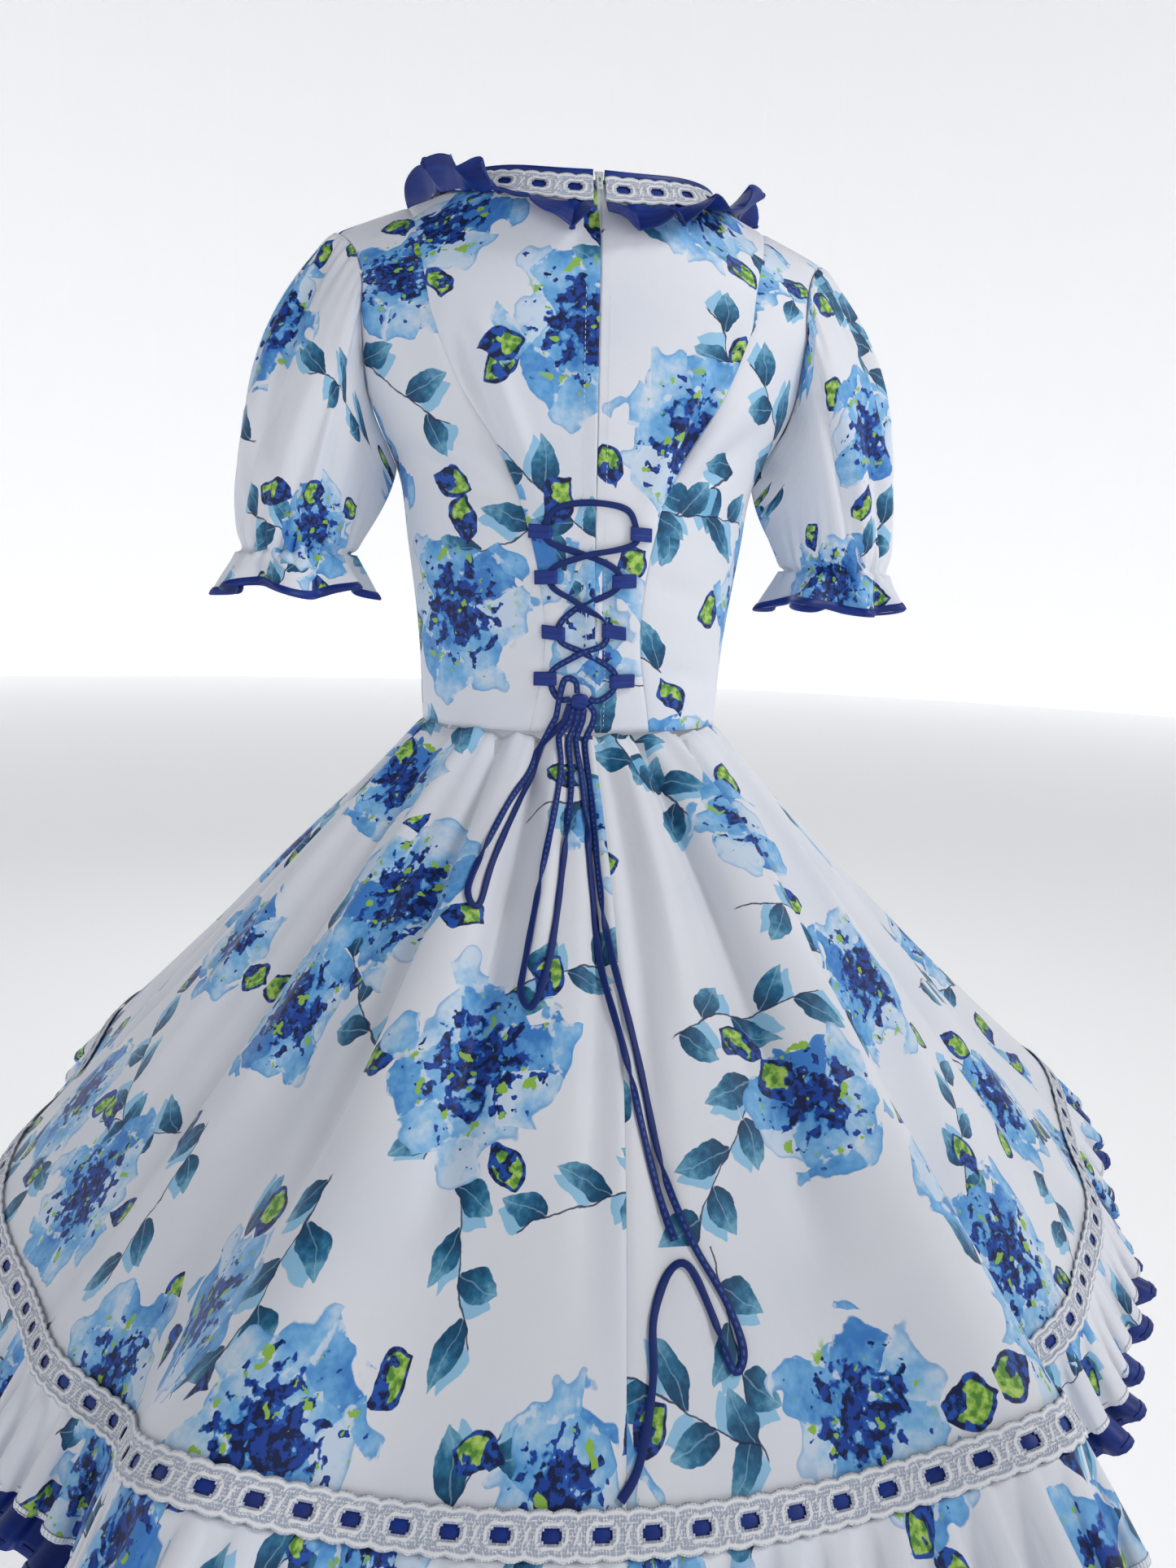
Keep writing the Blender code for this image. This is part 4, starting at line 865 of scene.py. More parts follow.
# %% [markdown]
# ## Rails for the trims of the hem
# Lace, ribbon and ruffles all follow the hem. At each column of the hem we
# keep a point, the way down the cloth and the way out of it; every trim is
# then drawn between two such rails. Working from rails keeps the trims on the
# skirt's own folds, which is how they are sewn.

# %% Hem rails
LACE_HEIGHT = 0.020
HEM_WINDOWS = 124
RUFFLE_DROP = 0.060
RUFFLE_STEEPER = math.radians(8)
UNDER_DROP = 0.086
UNDER_INSET = 0.018
UNDER_FLARE = 0.012
PETTICOAT_DROP = 0.084
PETTICOAT_INSET = 0.030
PETTICOAT_DRAW_IN = 1.5

Rail = namedtuple("Rail", "point down out along")


def unit(array):
    return array / np.maximum(np.linalg.norm(array, axis=-1, keepdims=True), 1e-9)


def hem_rail(degrees):
    point = skirt_place(degrees, 1.0)
    down = unit(point - skirt_place(degrees, 0.62))
    along = unit(skirt_place(degrees + 0.5, 1.0) - skirt_place(degrees - 0.5, 1.0))
    out = unit(np.cross(along, down))
    out = np.where(np.sum(out[..., :2] * point[..., :2], axis=-1, keepdims=True) < 0, -out, out)
    return Rail(point, down, out, along)


def hem_degrees(count):
    """Angles that part the hem into equal lengths of cloth."""
    fine = np.linspace(0, 360, 2161)
    steps = np.linalg.norm(np.diff(skirt_place(fine, 1.0), axis=0), axis=-1)
    lengths = np.concatenate([[0], np.cumsum(steps)])
    return np.interp(np.linspace(0, lengths[-1], count + 1), lengths, fine), lengths[-1]


HEM_LENGTH = hem_degrees(8)[1]
print("hem", round(HEM_LENGTH, 2), "m round,", HEM_WINDOWS, "lace windows",
      round(HEM_LENGTH / HEM_WINDOWS * 1000, 1), "mm apart")

# %% [markdown]
# ## Beading lace
# Beading lace is an embroidered band with a row of windows for a ribbon. One
# repeat is drawn as a small grid: the window is left open, its rim and the
# scalloped edges are raised like cord, and between two windows stands a small
# cross of satin stitches. The repeat is laid along two rails, which works for
# the straight hem and the curved neck alike.

# %% Draw the lace between two rails
CELL_COLUMNS = 20
WINDOW_U = (0.30, 0.70)
WINDOW_V = (0.33, 0.67)
SCALLOP = 0.0016
RIM = 0.00055


def lace_relief(u, v):
    """Height of the lace's face over one repeat, in metres, from its stitches."""
    x = (u - 0.5) * 1.25
    y = v - 0.5
    oval = np.abs((np.abs(x) / 0.385) ** 2.6 + (np.abs(y) / 0.27) ** 2.6 - 1.0)
    height = RIM * np.exp(-(oval / 0.28) ** 2)
    edge = 0.5 - np.abs(y)
    height = height + RIM * np.exp(-((edge - 0.055) / 0.045) ** 2)
    beside = np.where(u < 0.5, u, 1.0 - u) * 1.25
    for slope in (-1, 1):
        away = (beside - 0.62 * slope * y * 0.6) / 0.035
        height = height + 0.8 * RIM * np.exp(-away ** 2) * (np.abs(y) < 0.24)
    dots = np.exp(-((beside / 0.05) ** 2 + ((np.abs(y) - 0.31) / 0.05) ** 2))
    return height + RIM * dots


def lace_band(name, upper, lower, out, cells, lift):
    """Lace with its windows open, between an upper and a lower rail of points."""
    u = np.tile((np.arange(CELL_COLUMNS) / CELL_COLUMNS), cells)
    u = np.append(u, 0.0)
    low, high = WINDOW_V
    v = np.concatenate([np.linspace(0, low, 5)[:-1], np.linspace(low, high, 6),
                        np.linspace(high, 1, 5)[1:]])
    scallop = SCALLOP * np.abs(np.sin(2 * math.pi * u))
    width = np.linalg.norm(lower - upper, axis=-1)
    edge = np.exp(-(np.minimum(v, 1 - v)[:, None] / 0.16) ** 2)
    side = np.where(v[:, None] < 0.5, -1.0, 1.0)
    across = v[:, None] + side * edge * (scallop / width)[None, :]
    relief = lace_relief(np.broadcast_to(u, across.shape),
                         np.broadcast_to(v[:, None], across.shape))
    place = upper[None] + (lower - upper)[None] * across[..., None]
    place = place + out[None] * (lift + relief)[..., None]
    centre_u = (u[:-1] + 0.5 / CELL_COLUMNS)[None, :]
    centre_v = (v[1:] + v[:-1])[:, None] / 2
    inside = ((centre_u > WINDOW_U[0]) & (centre_u < WINDOW_U[1])
              & (centre_v > low) & (centre_v < high))
    corner = ((np.abs(centre_u - 0.5) > 0.15) & (np.abs(centre_v - 0.5) > 0.11))
    return grid_mesh(name, worn(place), flat_lengths(place, 0.5), keep=~(inside & ~corner),
                     raised=np.clip(relief / RIM, 0, 1))


def ribbon_band(name, upper, lower, out, cells, lift):
    """The ribbon behind the windows, which bulges a little through each one."""
    per_cell = 10
    count = cells * per_cell + 1
    at = np.linspace(0, len(upper) - 1, count)
    index = np.clip(at.astype(int), 0, len(upper) - 2)
    part = (at - index)[:, None]
    top = upper[index] * (1 - part) + upper[index + 1] * part
    bottom = lower[index] * (1 - part) + lower[index + 1] * part
    face = out[index]
    u = np.arange(count) / per_cell % 1.0
    v = np.linspace(0, 1, 7)[:, None]
    bulge = 0.0007 * np.exp(-((u - 0.5) / 0.2) ** 2)[None, :] * np.sin(math.pi * v)
    place = top[None] + (bottom - top)[None] * v[..., None]
    place = place + face[None] * (lift + bulge)[..., None]
    return grid_mesh(name, worn(place), flat_lengths(place, 0.5))


def hem_band_rails(first, cells, start, end):
    degrees = hem_degrees(HEM_WINDOWS * CELL_COLUMNS)[0]
    quarter = HEM_WINDOWS * CELL_COLUMNS // 4
    turned = np.concatenate([degrees[:-1] - 360, degrees])
    begin = int(round((first + 360) / 90 * quarter))
    span = turned[begin:begin + cells * CELL_COLUMNS + 1]
    rail = hem_rail(span)
    return rail.point - rail.down * start, rail.point - rail.down * end, rail.out


half = HEM_WINDOWS // 2
lace = []
for name, first in (("hem_lace_front", 90), ("hem_lace_back", -90)):
    upper, lower, out = hem_band_rails(first, half, LACE_HEIGHT, 0.0)
    piece = lace_band("beading_" + name, upper, lower, out, half, 0.0026)
    lace.append((piece, name))
upper, lower, out = hem_band_rails(-90, HEM_WINDOWS, 0.0155, 0.0045)
hem_ribbon = ribbon_band("ribbon_hem", upper, lower, out, HEM_WINDOWS, 0.0012)
print("lace", sum(len(piece.data.polygons) for piece, node in lace), "faces")

# %% [markdown]
# ## Ruffles and petticoat
# A ruffle is a strip longer than the hem, gathered along one edge. Its free
# edge swings in folds that are never quite alike, so the wave's pace drifts
# along the hem. Each fold is also pushed sideways at its flanks, which makes
# the round-backed shape of real gathers and not a plain sine wave. The
# printed ruffle hides a royal-blue one, and both lie over a net petticoat.

# %% Gather the ruffles
RUFFLE_FOLDS = 118
UNDER_FOLDS = 84


def uneven_phase(share, folds, seed):
    """Phase along a ruffle whose folds are not all of one width."""
    turn = 2 * math.pi * share
    drift = 0.9 * np.sin(5 * turn + seed) + 0.7 * np.sin(11 * turn + 2.3 * seed)
    drift = drift + 0.5 * np.sin(23 * turn + 1.7 * seed)
    return folds * turn + drift


def hanging_ruffle(columns, drops, folds, swing, sideways, seed, inset, big=0.0, big_waves=46,
                   gather=0.0007):
    degrees = hem_degrees(columns)[0][:-1]
    share = np.arange(columns) / columns
    rail = hem_rail(degrees)
    steep_down = rail.down * math.cos(RUFFLE_STEEPER) - rail.out * math.sin(RUFFLE_STEEPER)
    phase = uneven_phase(share, folds, seed)
    loudness = 1.0 + 0.25 * np.sin(7 * 2 * math.pi * share + seed)
    length = drops[-1]
    rows = []
    for drop in drops:
        part = drop / length
        wave = swing * loudness * np.cos(phase) * part ** 0.75
        wave = wave + big * np.cos(big_waves * 2 * math.pi * share) * part
        wave = wave + gather * np.cos(2.1 * phase + seed) * np.exp(-part / 0.12)
        beside = sideways * np.sin(2 * phase) * part ** 0.6
        place = rail.point + steep_down * drop + rail.out * (wave + inset(drop))[:, None]
        rows.append(place + rail.along * beside[:, None])
    return np.array(rows)


def edge_cord(name, place, width, thick, steps=4):
    """A stitched edging wrapped round the last row of a closed grid."""
    last, before = place[-1], place[-2]
    way = unit(last - before)
    out = unit(np.cross(unit(np.roll(last, -1, axis=0) - np.roll(last, 1, axis=0)), way))
    centre = last * [[1, 1, 0]]
    out = np.where(np.sum(out * centre, axis=-1, keepdims=True) < 0, -out, out)
    rows = []
    for k in range(2 * steps + 1):
        turn = math.pi * k / (2 * steps)
        along, lift = -width * abs(math.cos(turn)), thick * math.cos(turn)
        tip = 0.0004 * math.sin(turn)
        rows.append(last + way * (along + tip) + out * (lift + CLOTH_THICK / 2))
    rows = np.array(rows)
    return grid_mesh(name, rows, closed_lengths(rows), closed=True)


drops = np.concatenate([[0.0004, 0.002, 0.005], np.linspace(0.010, RUFFLE_DROP, 10)])
hem_place = worn(hanging_ruffle(1416, drops, RUFFLE_FOLDS, 0.0062, 0.0034, 1.3,
                                lambda drop: 0.0, big=0.0030))
hem_uv = closed_lengths(hem_place) + np.array((0.0, 0.17))
hem_ruffle = grid_mesh("ruffle_hem", hem_place, hem_uv, closed=True)
overlock = edge_cord("overlocked_edge", hem_place, 0.0032, 0.0007)


def under_inset(drop):
    flare = UNDER_FLARE * np.clip((drop - RUFFLE_DROP) / (UNDER_DROP - RUFFLE_DROP), 0, 1)
    return flare - (WALL + LAYER_GAP) - UNDER_INSET * min(drop / RUFFLE_DROP, 1.0)


drops = np.linspace(0.0004, UNDER_DROP, 14)
under_place = worn(hanging_ruffle(1092, drops, UNDER_FOLDS, 0.0100, 0.0040, 4.1, under_inset,
                                  big=0.0045, big_waves=23))
under_ruffle = grid_mesh("ruffle_under", under_place, closed_lengths(under_place), closed=True)
under_hem = edge_cord("under_ruffle_hem", under_place, 0.0040, 0.0006)


def net_place(columns=460):
    degrees = np.arange(columns) * 360.0 / columns
    rows = []
    ripple = np.cos(np.radians(degrees) * 46 + 0.8 * np.sin(np.radians(degrees) * 5))
    for share in np.linspace(0.012, 0.985, 22):
        place = skirt_place(degrees, share)
        out = unit(np.cross(skirt_place(degrees + 0.5, share) - place,
                            skirt_place(degrees, share + 0.01) - place))
        out = np.where(np.sum(out[:, :2] * place[:, :2], axis=1)[:, None] < 0, -out, out)
        inset = WALL + 2 * LAYER_GAP + 0.010 * min(share / 0.10, 1.0)
        inset = inset + (PETTICOAT_INSET - 0.010) * min(share, 0.9)
        rows.append(place - out * inset + out * (0.0030 * ripple * share)[:, None])
    below = hanging_ruffle(columns, np.linspace(0.006, PETTICOAT_DROP, 9), 46, 0.0060, 0.0020, 0.4,
                           lambda drop: -PETTICOAT_INSET
                           * (1 + PETTICOAT_DRAW_IN * drop / PETTICOAT_DROP))
    return worn(np.concatenate([np.array(rows), below]))


net = net_place()
petticoat = grid_mesh("net_petticoat", net, closed_lengths(net), closed=True)
net_tape = edge_cord("petticoat_tape", net, 0.0065, 0.0005)
print("ruffle cloth", round(mesh_area(hem_ruffle), 2), "and", round(mesh_area(under_ruffle), 2),
      "square metres, net", round(mesh_area(petticoat), 2))

# %% [markdown]
# ## Trims of the neck
# The neckline lies on the shoulders like a wide oval. Distances are measured
# down the cloth from it, so each trim starts where the last one ends: a thin
# royal-blue band on the edge, the beading lace, and a ruffle. The ruffle lies
# nearly flat at the centre back, and stands up over the shoulders.

# %% Neck rails, band, lace and ruffle
NECK_GAP = 0.004
NECK_LIFT = 0.0020
NECK_LACE = 0.020
NECK_RUFFLE = 0.025
NECK_RUFFLE_START = 0.0020
NECK_RUFFLE_WAVE = 0.0045
NECK_WINDOWS = 24
NECK_FOLDS = 18

Lift = namedtuple("Lift", "angle degrees")
LIFTS = (
    Lift(0, 22),
    Lift(25, 35),
    Lift(45, 92),
    Lift(75, 98),
    Lift(105, 50),
    Lift(180, 30),
    Lift(255, 45),
    Lift(285, 80),
    Lift(310, 60),
    Lift(335, 30),
    Lift(360, 22),
)


def neck_plan(angle):
    reach = np.where(np.cos(angle) > 0, NECK_BACK, NECK_FRONT)
    return points(NECK_HALF * np.sin(angle), reach * np.cos(angle), 0.0)


def neck_angles(count):
    """Angles that part the neckline evenly, from one side of the zip to the other."""
    start = math.asin(NECK_GAP / NECK_HALF)
    fine = np.linspace(start, 2 * math.pi - start, 1201)
    lengths = np.linalg.norm(np.diff(neck_plan(fine), axis=0), axis=-1)
    lengths = np.concatenate([[0], np.cumsum(lengths)])
    return np.interp(np.linspace(0, lengths[-1], count + 1), lengths, fine)


def yoke_place(x, y):
    """Inner face of the bodice above the roll, as a height over a plan place."""
    depth = np.where(y > 0, roll_depth(1, x), roll_depth(-1, x))
    rise = np.sqrt(np.maximum(1 - (y / np.maximum(depth, 1e-6)) ** 2, 0.0))
    return points(x, y, ROLL_START + (shoulder_height(x) - ROLL_START) * rise)


def neck_rail(angle, distance):
    """Place on the bodice at a distance down from the neckline, its ways down and out."""
    plan = neck_plan(angle)
    reach = np.where(plan[:, 1] > 0, NECK_BACK, NECK_FRONT)
    aside = unit(points(plan[:, 0] / NECK_HALF ** 2, plan[:, 1] / reach ** 2, 0.0))
    steps = np.arange(0, 0.060, 0.0005)
    walk = plan[None] + aside[None] * steps[:, None, None]
    line = yoke_place(walk[..., 0], walk[..., 1])
    gone = np.linalg.norm(np.diff(line, axis=0), axis=-1)
    gone = np.concatenate([np.zeros((1, len(angle))), np.cumsum(gone, axis=0)])
    point = np.empty((len(angle), 3))
    ahead = np.empty((len(angle), 3))
    for k in range(len(angle)):
        for axis in range(3):
            point[k, axis] = np.interp(distance, gone[:, k], line[:, k, axis])
            ahead[k, axis] = np.interp(distance + 0.0006, gone[:, k], line[:, k, axis])
    down = unit(ahead - point)
    along = points(-aside[:, 1], aside[:, 0], 0.0)
    out = unit(np.cross(down, along))
    out = np.where(out[:, 2:] < 0, -out, out)
    return Rail(point, down, out, along)


angle = neck_angles(NECK_WINDOWS * CELL_COLUMNS)
top_rail, low_rail = neck_rail(angle, 0.0002), neck_rail(angle, NECK_LACE)
neck_out = unit(top_rail.out + low_rail.out)
neck_lace = lace_band("beading_neck_lace", top_rail.point, low_rail.point, neck_out,
                      NECK_WINDOWS, WALL + NECK_LIFT + 0.0004)
inner_share = 0.0045 / NECK_LACE
rise = low_rail.point - top_rail.point
neck_ribbon = ribbon_band("ribbon_neck", top_rail.point + rise * inner_share,
                          low_rail.point - rise * inner_share, neck_out, NECK_WINDOWS,
                          WALL + NECK_LIFT - 0.0012)
band_profile = ((0.0003, 0.0001), (0.0030, -0.0003), (0.0052, -0.0002), (0.0060, 0.0004),
                (0.0060, 0.0010), (0.0052, 0.0016), (0.0030, 0.0017), (0.0004, 0.0014))
rows = [top_rail.point + points(0, 0, up) + top_rail.out * side - top_rail.down * 0.0008
        for up, side in band_profile]
neck_band = grid_mesh("bound_neck_edge", worn(np.array(rows)), flat_lengths(np.array(rows)))


def standing_ruffle(columns=520):
    angle = neck_angles(columns)
    rail = neck_rail(angle, NECK_LACE + NECK_RUFFLE_START)
    lift = np.radians(np.interp(np.degrees(angle), *smooth_curve(LIFTS, "angle", "degrees")))
    share = np.linspace(0, 1, columns + 1)
    phase = uneven_phase(share, NECK_FOLDS, 2.2)
    start = rail.point + rail.out * (WALL + NECK_LIFT)
    way = rail.down * np.cos(lift)[:, None] + rail.out * np.sin(lift)[:, None]
    across = rail.out * np.cos(lift)[:, None] - rail.down * np.sin(lift)[:, None]
    loud = 1.0 + 0.28 * np.sin(5 * 2 * math.pi * share + 1.0) * np.sin(2 * math.pi * share * 13)
    rows = []
    for part in np.linspace(0, 1, 15):
        swing = NECK_RUFFLE_WAVE * 1.6 * loud * np.tanh(1.5 * np.cos(phase)) * part
        swing = swing + 0.0010 * np.cos(2.0 * phase) * np.exp(-part / 0.15)
        beside = 0.0032 * loud * np.sin(2 * phase) * part
        reach = NECK_RUFFLE * part * (1 - 0.13 * part * np.cos(phase) ** 2)
        rows.append(start + way * reach[:, None] + across * swing[:, None]
                    + rail.along * beside[:, None])
    return np.array(rows)


ruffle_place = worn(standing_ruffle())
neck_ruffle = grid_mesh("ruffle_neck", ruffle_place, flat_lengths(ruffle_place))
print("neck trims follow", round(float(np.sum(np.linalg.norm(
    np.diff(top_rail.point, axis=0), axis=-1))), 3), "m of neckline")

# %% [markdown]
# ## Places over the back
# The lacing lies on the back, so its route is written as metres to the side,
# metres below the waist and height over the cloth. This cell turns such a
# place into a point, on the bodice above the waist and on the folded skirt
# below it, so that the cord follows every fold it crosses.

# %% Turn a place over the back into a point
Route = namedtuple("Route", "across down lift")
SETTLED = ((0.0023, 0.0030, 0.00375, 0.0048, 0.0064, 0.0072),
           (0.0011, 0.0013, 0.0021, 0.0031, 0.0034, 0.0040))


def skirt_surface(degrees, share):
    """Inner face of the finished skirt, small folds and all."""
    base = skirt_place(degrees, share)
    beside = skirt_place(degrees + 0.2, share) - base
    below = skirt_place(degrees, share + 0.002) - base
    out = unit(np.cross(beside, below))
    out = np.where(np.sum(out[..., :2] * base[..., :2], axis=-1, keepdims=True) < 0, -out, out)
    height = small_folds(degrees, share) * np.minimum((1.0 - share) / 0.06, 1)
    return base + out * height[..., None]


def bodice_surface(across, height):
    """Inner face of the back of the bodice at a height, creases and all."""
    angle = np.arcsin(across / section("half_width", height))
    share = ROLL_SHARE * (height - WAIST) / (ROLL_START - WAIST)
    base = torso(1, angle, share)
    above = torso(1, angle, share + 0.004) - base
    beside = torso(1, angle + 0.004, share) - base
    out = unit(np.cross(beside, above))
    out = np.where(out[..., 1:2] < 0, -out, out)
    return base + out * crease_height(1, base[None])[0][..., None]


def over_back(across, down, lift):
    """Point over the back, and the way out of the cloth there."""
    across, down = np.atleast_1d(across).astype(float), np.atleast_1d(down).astype(float)
    lift = np.broadcast_to(lift, across.shape)
    place = np.empty((len(across), 3))
    out = np.empty((len(across), 3))
    on_bodice = down <= 0

    def surface(aside, below, upper):
        if upper:
            return bodice_surface(aside, np.minimum(WAIST - below, -0.09))
        share = np.maximum(below, 0.0002) / SKIRT_SLANT
        middle = skirt_place(np.zeros_like(aside), share)[..., 1]
        return skirt_surface(np.degrees(aside / middle), share)

    for upper in (True, False):
        chosen = on_bodice if upper else ~on_bodice
        if not chosen.any():
            continue
        aside, below = across[chosen], down[chosen]
        base = surface(aside, below, upper)
        beside = surface(aside + 0.002, below, upper) - surface(aside - 0.002, below, upper)
        along = surface(aside, below + 0.002, upper) - surface(aside, below - 0.002, upper)
        normal = unit(np.cross(beside, along))
        normal = np.where(normal[..., 1:2] < 0, -normal, normal)
        place[chosen] = base + normal * (CLOTH_THICK + lift[chosen])[:, None]
        out[chosen] = normal
    return place, out


print("lift of a cord that lies on the cloth", np.interp(0.0030, *SETTLED) * 1000, "mm")

# %% [markdown]
# ## The lacing loops
# Each loop is a strip of the royal-blue cloth, folded double and sewn into a
# princess seam by both ends. Seen from the side it is a long U: out along the
# cloth, round the cord, and back. Its edges are a little rounded and a shallow
# groove runs along its middle.

# %% Fold the loops
Loop = namedtuple("Loop", "height left_inner left_outer right_inner right_outer")
LOOPS = (
    Loop(-0.253, 0.0310, 0.0465, 0.0270, 0.0420),
    Loop(-0.286, 0.0275, 0.0425, 0.0150, 0.0310),
    Loop(-0.325, 0.0225, 0.0380, 0.0060, 0.0235),
    Loop(-0.360, 0.0285, 0.0440, 0.0120, 0.0305),
)
LOOP_TALL = 0.0095
LOOP_RADIUS = 0.0018
LOOP_LOW = 0.0004
LOOP_WALL = 0.0011
LOOP_TILT = {"left_1": 0.05, "left_2": -0.06, "left_3": 0.09, "left_4": -0.04,
             "right_1": -0.05, "right_2": 0.08, "right_3": -0.10, "right_4": 0.05}


def loop_band(number, word, hand):
    loop = LOOPS[number]
    inner, outer = getattr(loop, word + "_inner"), getattr(loop, word + "_outer")
    turn = np.linspace(0, math.pi, 13)
    out_way = np.linspace(outer, inner + LOOP_RADIUS, 7)[:-1]
    across = np.concatenate([out_way, inner + LOOP_RADIUS - LOOP_RADIUS * np.sin(turn),
                             out_way[::-1]])
    lift = np.concatenate([np.full(6, LOOP_LOW), LOOP_LOW + LOOP_RADIUS * (1 - np.cos(turn)),
                           LOOP_LOW + np.linspace(2 * LOOP_RADIUS,
                                                  LOOP_LOW + LOOP_WALL + 0.0003, 6)])
    tilt = LOOP_TILT["%s_%d" % (word, number + 1)]
    rows = []
    edge = np.array((-1.0, -0.92, -0.7, -0.35, -0.07, 0.0, 0.07, 0.35, 0.7, 0.92, 1.0))
    for part in edge:
        rise = part * LOOP_TALL / 2 + tilt * (across - outer)
        round_off = -0.0003 * abs(part) ** 6 - 0.00022 * math.exp(-(part / 0.06) ** 2)
        sides = np.where(np.arange(len(across)) > 12, 1.0, -1.0)
        rows.append(over_back(hand * across, WAIST - loop.height - rise,
                              lift + round_off * sides)[0])
    rows = np.array(rows)
    along = flat_lengths(rows, 0.0)
    piece = grid_mesh("loop_%s_%d" % (word, number + 1), worn(rows), along)
    middle = over_back([hand * (inner + LOOP_RADIUS)], [WAIST - loop.height],
                       LOOP_LOW + LOOP_RADIUS)[0]
    face = piece.data.polygons[len(piece.data.polygons) // 2 + 9]
    if face.normal.dot(face.center - Vector(worn(middle)[0])) < 0:
        piece.data.flip_normals()
    return piece


loops = []
for number in range(len(LOOPS)):
    for word, hand in (("left", 1), ("right", -1)):
        loops.append((loop_band(number, word, hand), "lacing_loop_%s_%d" % (word, number + 1)))
print(len(loops), "loops")

# %% [markdown]
# ## The lacing, the bow and its tails
# A long flat tube of royal-blue fabric laces the back and is tied in a bow.
# Its route repeats the places of the CAD cord, joined by one smooth line. At
# each step along the line we know the way of the cord and the way out of the
# cloth, so the flat side lies down on the dress. A few twists turn it over,
# as happens when a bow is tied by hand.

# %% Draw the flat cord along its routes
CORD_WIDTH = 0.0046
CORD_THICK = 0.0020
CORD_SIDES = 14
KNOT = Route(0.0109, -0.0241, 0.0048)
KNOT_SIZE = Vector((0.0140, 0.0120, 0.0066))
KNOT_REACH = Vector((0.0075, 0.0065, 0.0))
CROSSINGS = ((0.0060, -0.1310), (0.0090, -0.0947), (0.0084, -0.0600))
LACE_LIFT = 0.00375
LACE_REACH = 0.0070
LOOP_HALF_HOLLOW = 0.00245
TOP_BAR = (
    Route(0.0260, -0.1640, 0.0030),
    Route(0.0030, -0.1680, 0.0026),
    Route(-0.0220, -0.1650, 0.0030),
)
BOW_LEFT = (
    Route(0.0140, -0.0390, 0.0064),
    Route(0.0200, -0.0415, 0.0072),
    Route(0.0245, -0.0330, 0.0072),
    Route(0.0330, 0.0150, 0.0034),
    Route(0.0560, 0.0700, 0.0030),
    Route(0.0800, 0.1320, 0.0030),
    Route(0.0845, 0.1520, 0.0030),
    Route(0.0790, 0.1570, 0.0030),
    Route(0.0690, 0.1200, 0.0030),
    Route(0.0445, 0.0500, 0.0030),
    Route(0.0290, 0.0130, 0.0034),
)
BOW_RIGHT = (
    Route(0.0205, 0.0130, 0.0034),
    Route(0.0230, 0.0400, 0.0030),
    Route(0.0376, 0.1154, 0.0030),
    Route(0.0525, 0.1900, 0.0030),
    Route(0.0565, 0.2150, 0.0030),
    Route(0.0500, 0.2230, 0.0030),
    Route(0.0400, 0.1884, 0.0030),
    Route(0.0280, 0.1154, 0.0030),
    Route(0.0170, 0.0500, 0.0030),
    Route(0.0155, 0.0130, 0.0034),
)
TAIL_SHORT = (
    Route(0.0105, 0.0130, 0.0034),
    Route(0.0108, 0.0460, 0.0030),
    Route(0.0126, 0.1200, 0.0030),
    Route(0.0095, 0.1883, 0.0030),
    Route(0.0002, 0.2495, 0.0030),
    Route(-0.0120, 0.3155, 0.0030),
    Route(-0.0258, 0.3660, 0.0030),
)
TAIL_LONG = (
    Route(-0.0005, -0.0130, 0.0040),
    Route(0.0050, 0.0130, 0.0034),
    Route(0.0050, 0.0600, 0.0030),
    Route(0.0060, 0.1200, 0.0030),
    Route(0.0040, 0.1800, 0.0030),
    Route(-0.0056, 0.2445, 0.0030),
    Route(-0.0200, 0.3207, 0.0030),
    Route(-0.0338, 0.3660, 0.0030),
    Route(-0.0510, 0.3992, 0.0030),
    Route(-0.0600, 0.4270, 0.0030),
    Route(-0.0540, 0.4365, 0.0030),
    Route(-0.0440, 0.4070, 0.0030),
    Route(-0.0320, 0.3800, 0.0030),
    Route(-0.0215, 0.3840, 0.0030),
    Route(-0.0130, 0.4070, 0.0030),
    Route(-0.0128, 0.4366, 0.0030),
    Route(-0.0061, 0.4738, 0.0030),
    Route(0.0032, 0.4900, 0.0030),
)
Twist = namedtuple("Twist", "at length turns")
TWISTS = {
    "lacing": (Twist(0.105, 0.030, 0.5), Twist(0.43, 0.030, -0.5), Twist(0.66, 0.028, 0.5)),
    "bow_loop_left": (Twist(0.16, 0.040, 0.5),),
    "bow_loop_right": (Twist(0.13, 0.040, 0.5), Twist(0.36, 0.040, -0.5)),
    "tail_short": (Twist(0.085, 0.040, 0.5), Twist(0.27, 0.040, 0.5)),
    "tail_long": (Twist(0.16, 0.040, -0.5), Twist(0.33, 0.040, 0.5), Twist(0.47, 0.030, 0.5)),
}


def knot_side(degrees, lift=KNOT.lift):
    """A place just off the knot: 0 is straight below it and 90 on the wearer's left."""
    angle = math.radians(degrees)
    return Route(KNOT.across + KNOT_REACH.x * math.sin(angle),
                 KNOT.down + KNOT_REACH.y * math.cos(angle), lift)


def lacing_strand(words, lift):
    """Places of one strand from the top loop to the bottom one, crossing at a height."""
    places = []
    for number, word in enumerate(words):
        loop = LOOPS[number]
        hand = 1 if word == "left" else -1
        across = hand * (getattr(loop, word + "_inner") + LOOP_HALF_HOLLOW)
        middle = WAIST - loop.height
        places.append(Route(across, middle - LACE_REACH, LACE_LIFT))
        places.append(Route(across, middle + LACE_REACH, LACE_LIFT))
        if number < len(CROSSINGS):
            places.append(Route(*CROSSINGS[number], lift))
    return places


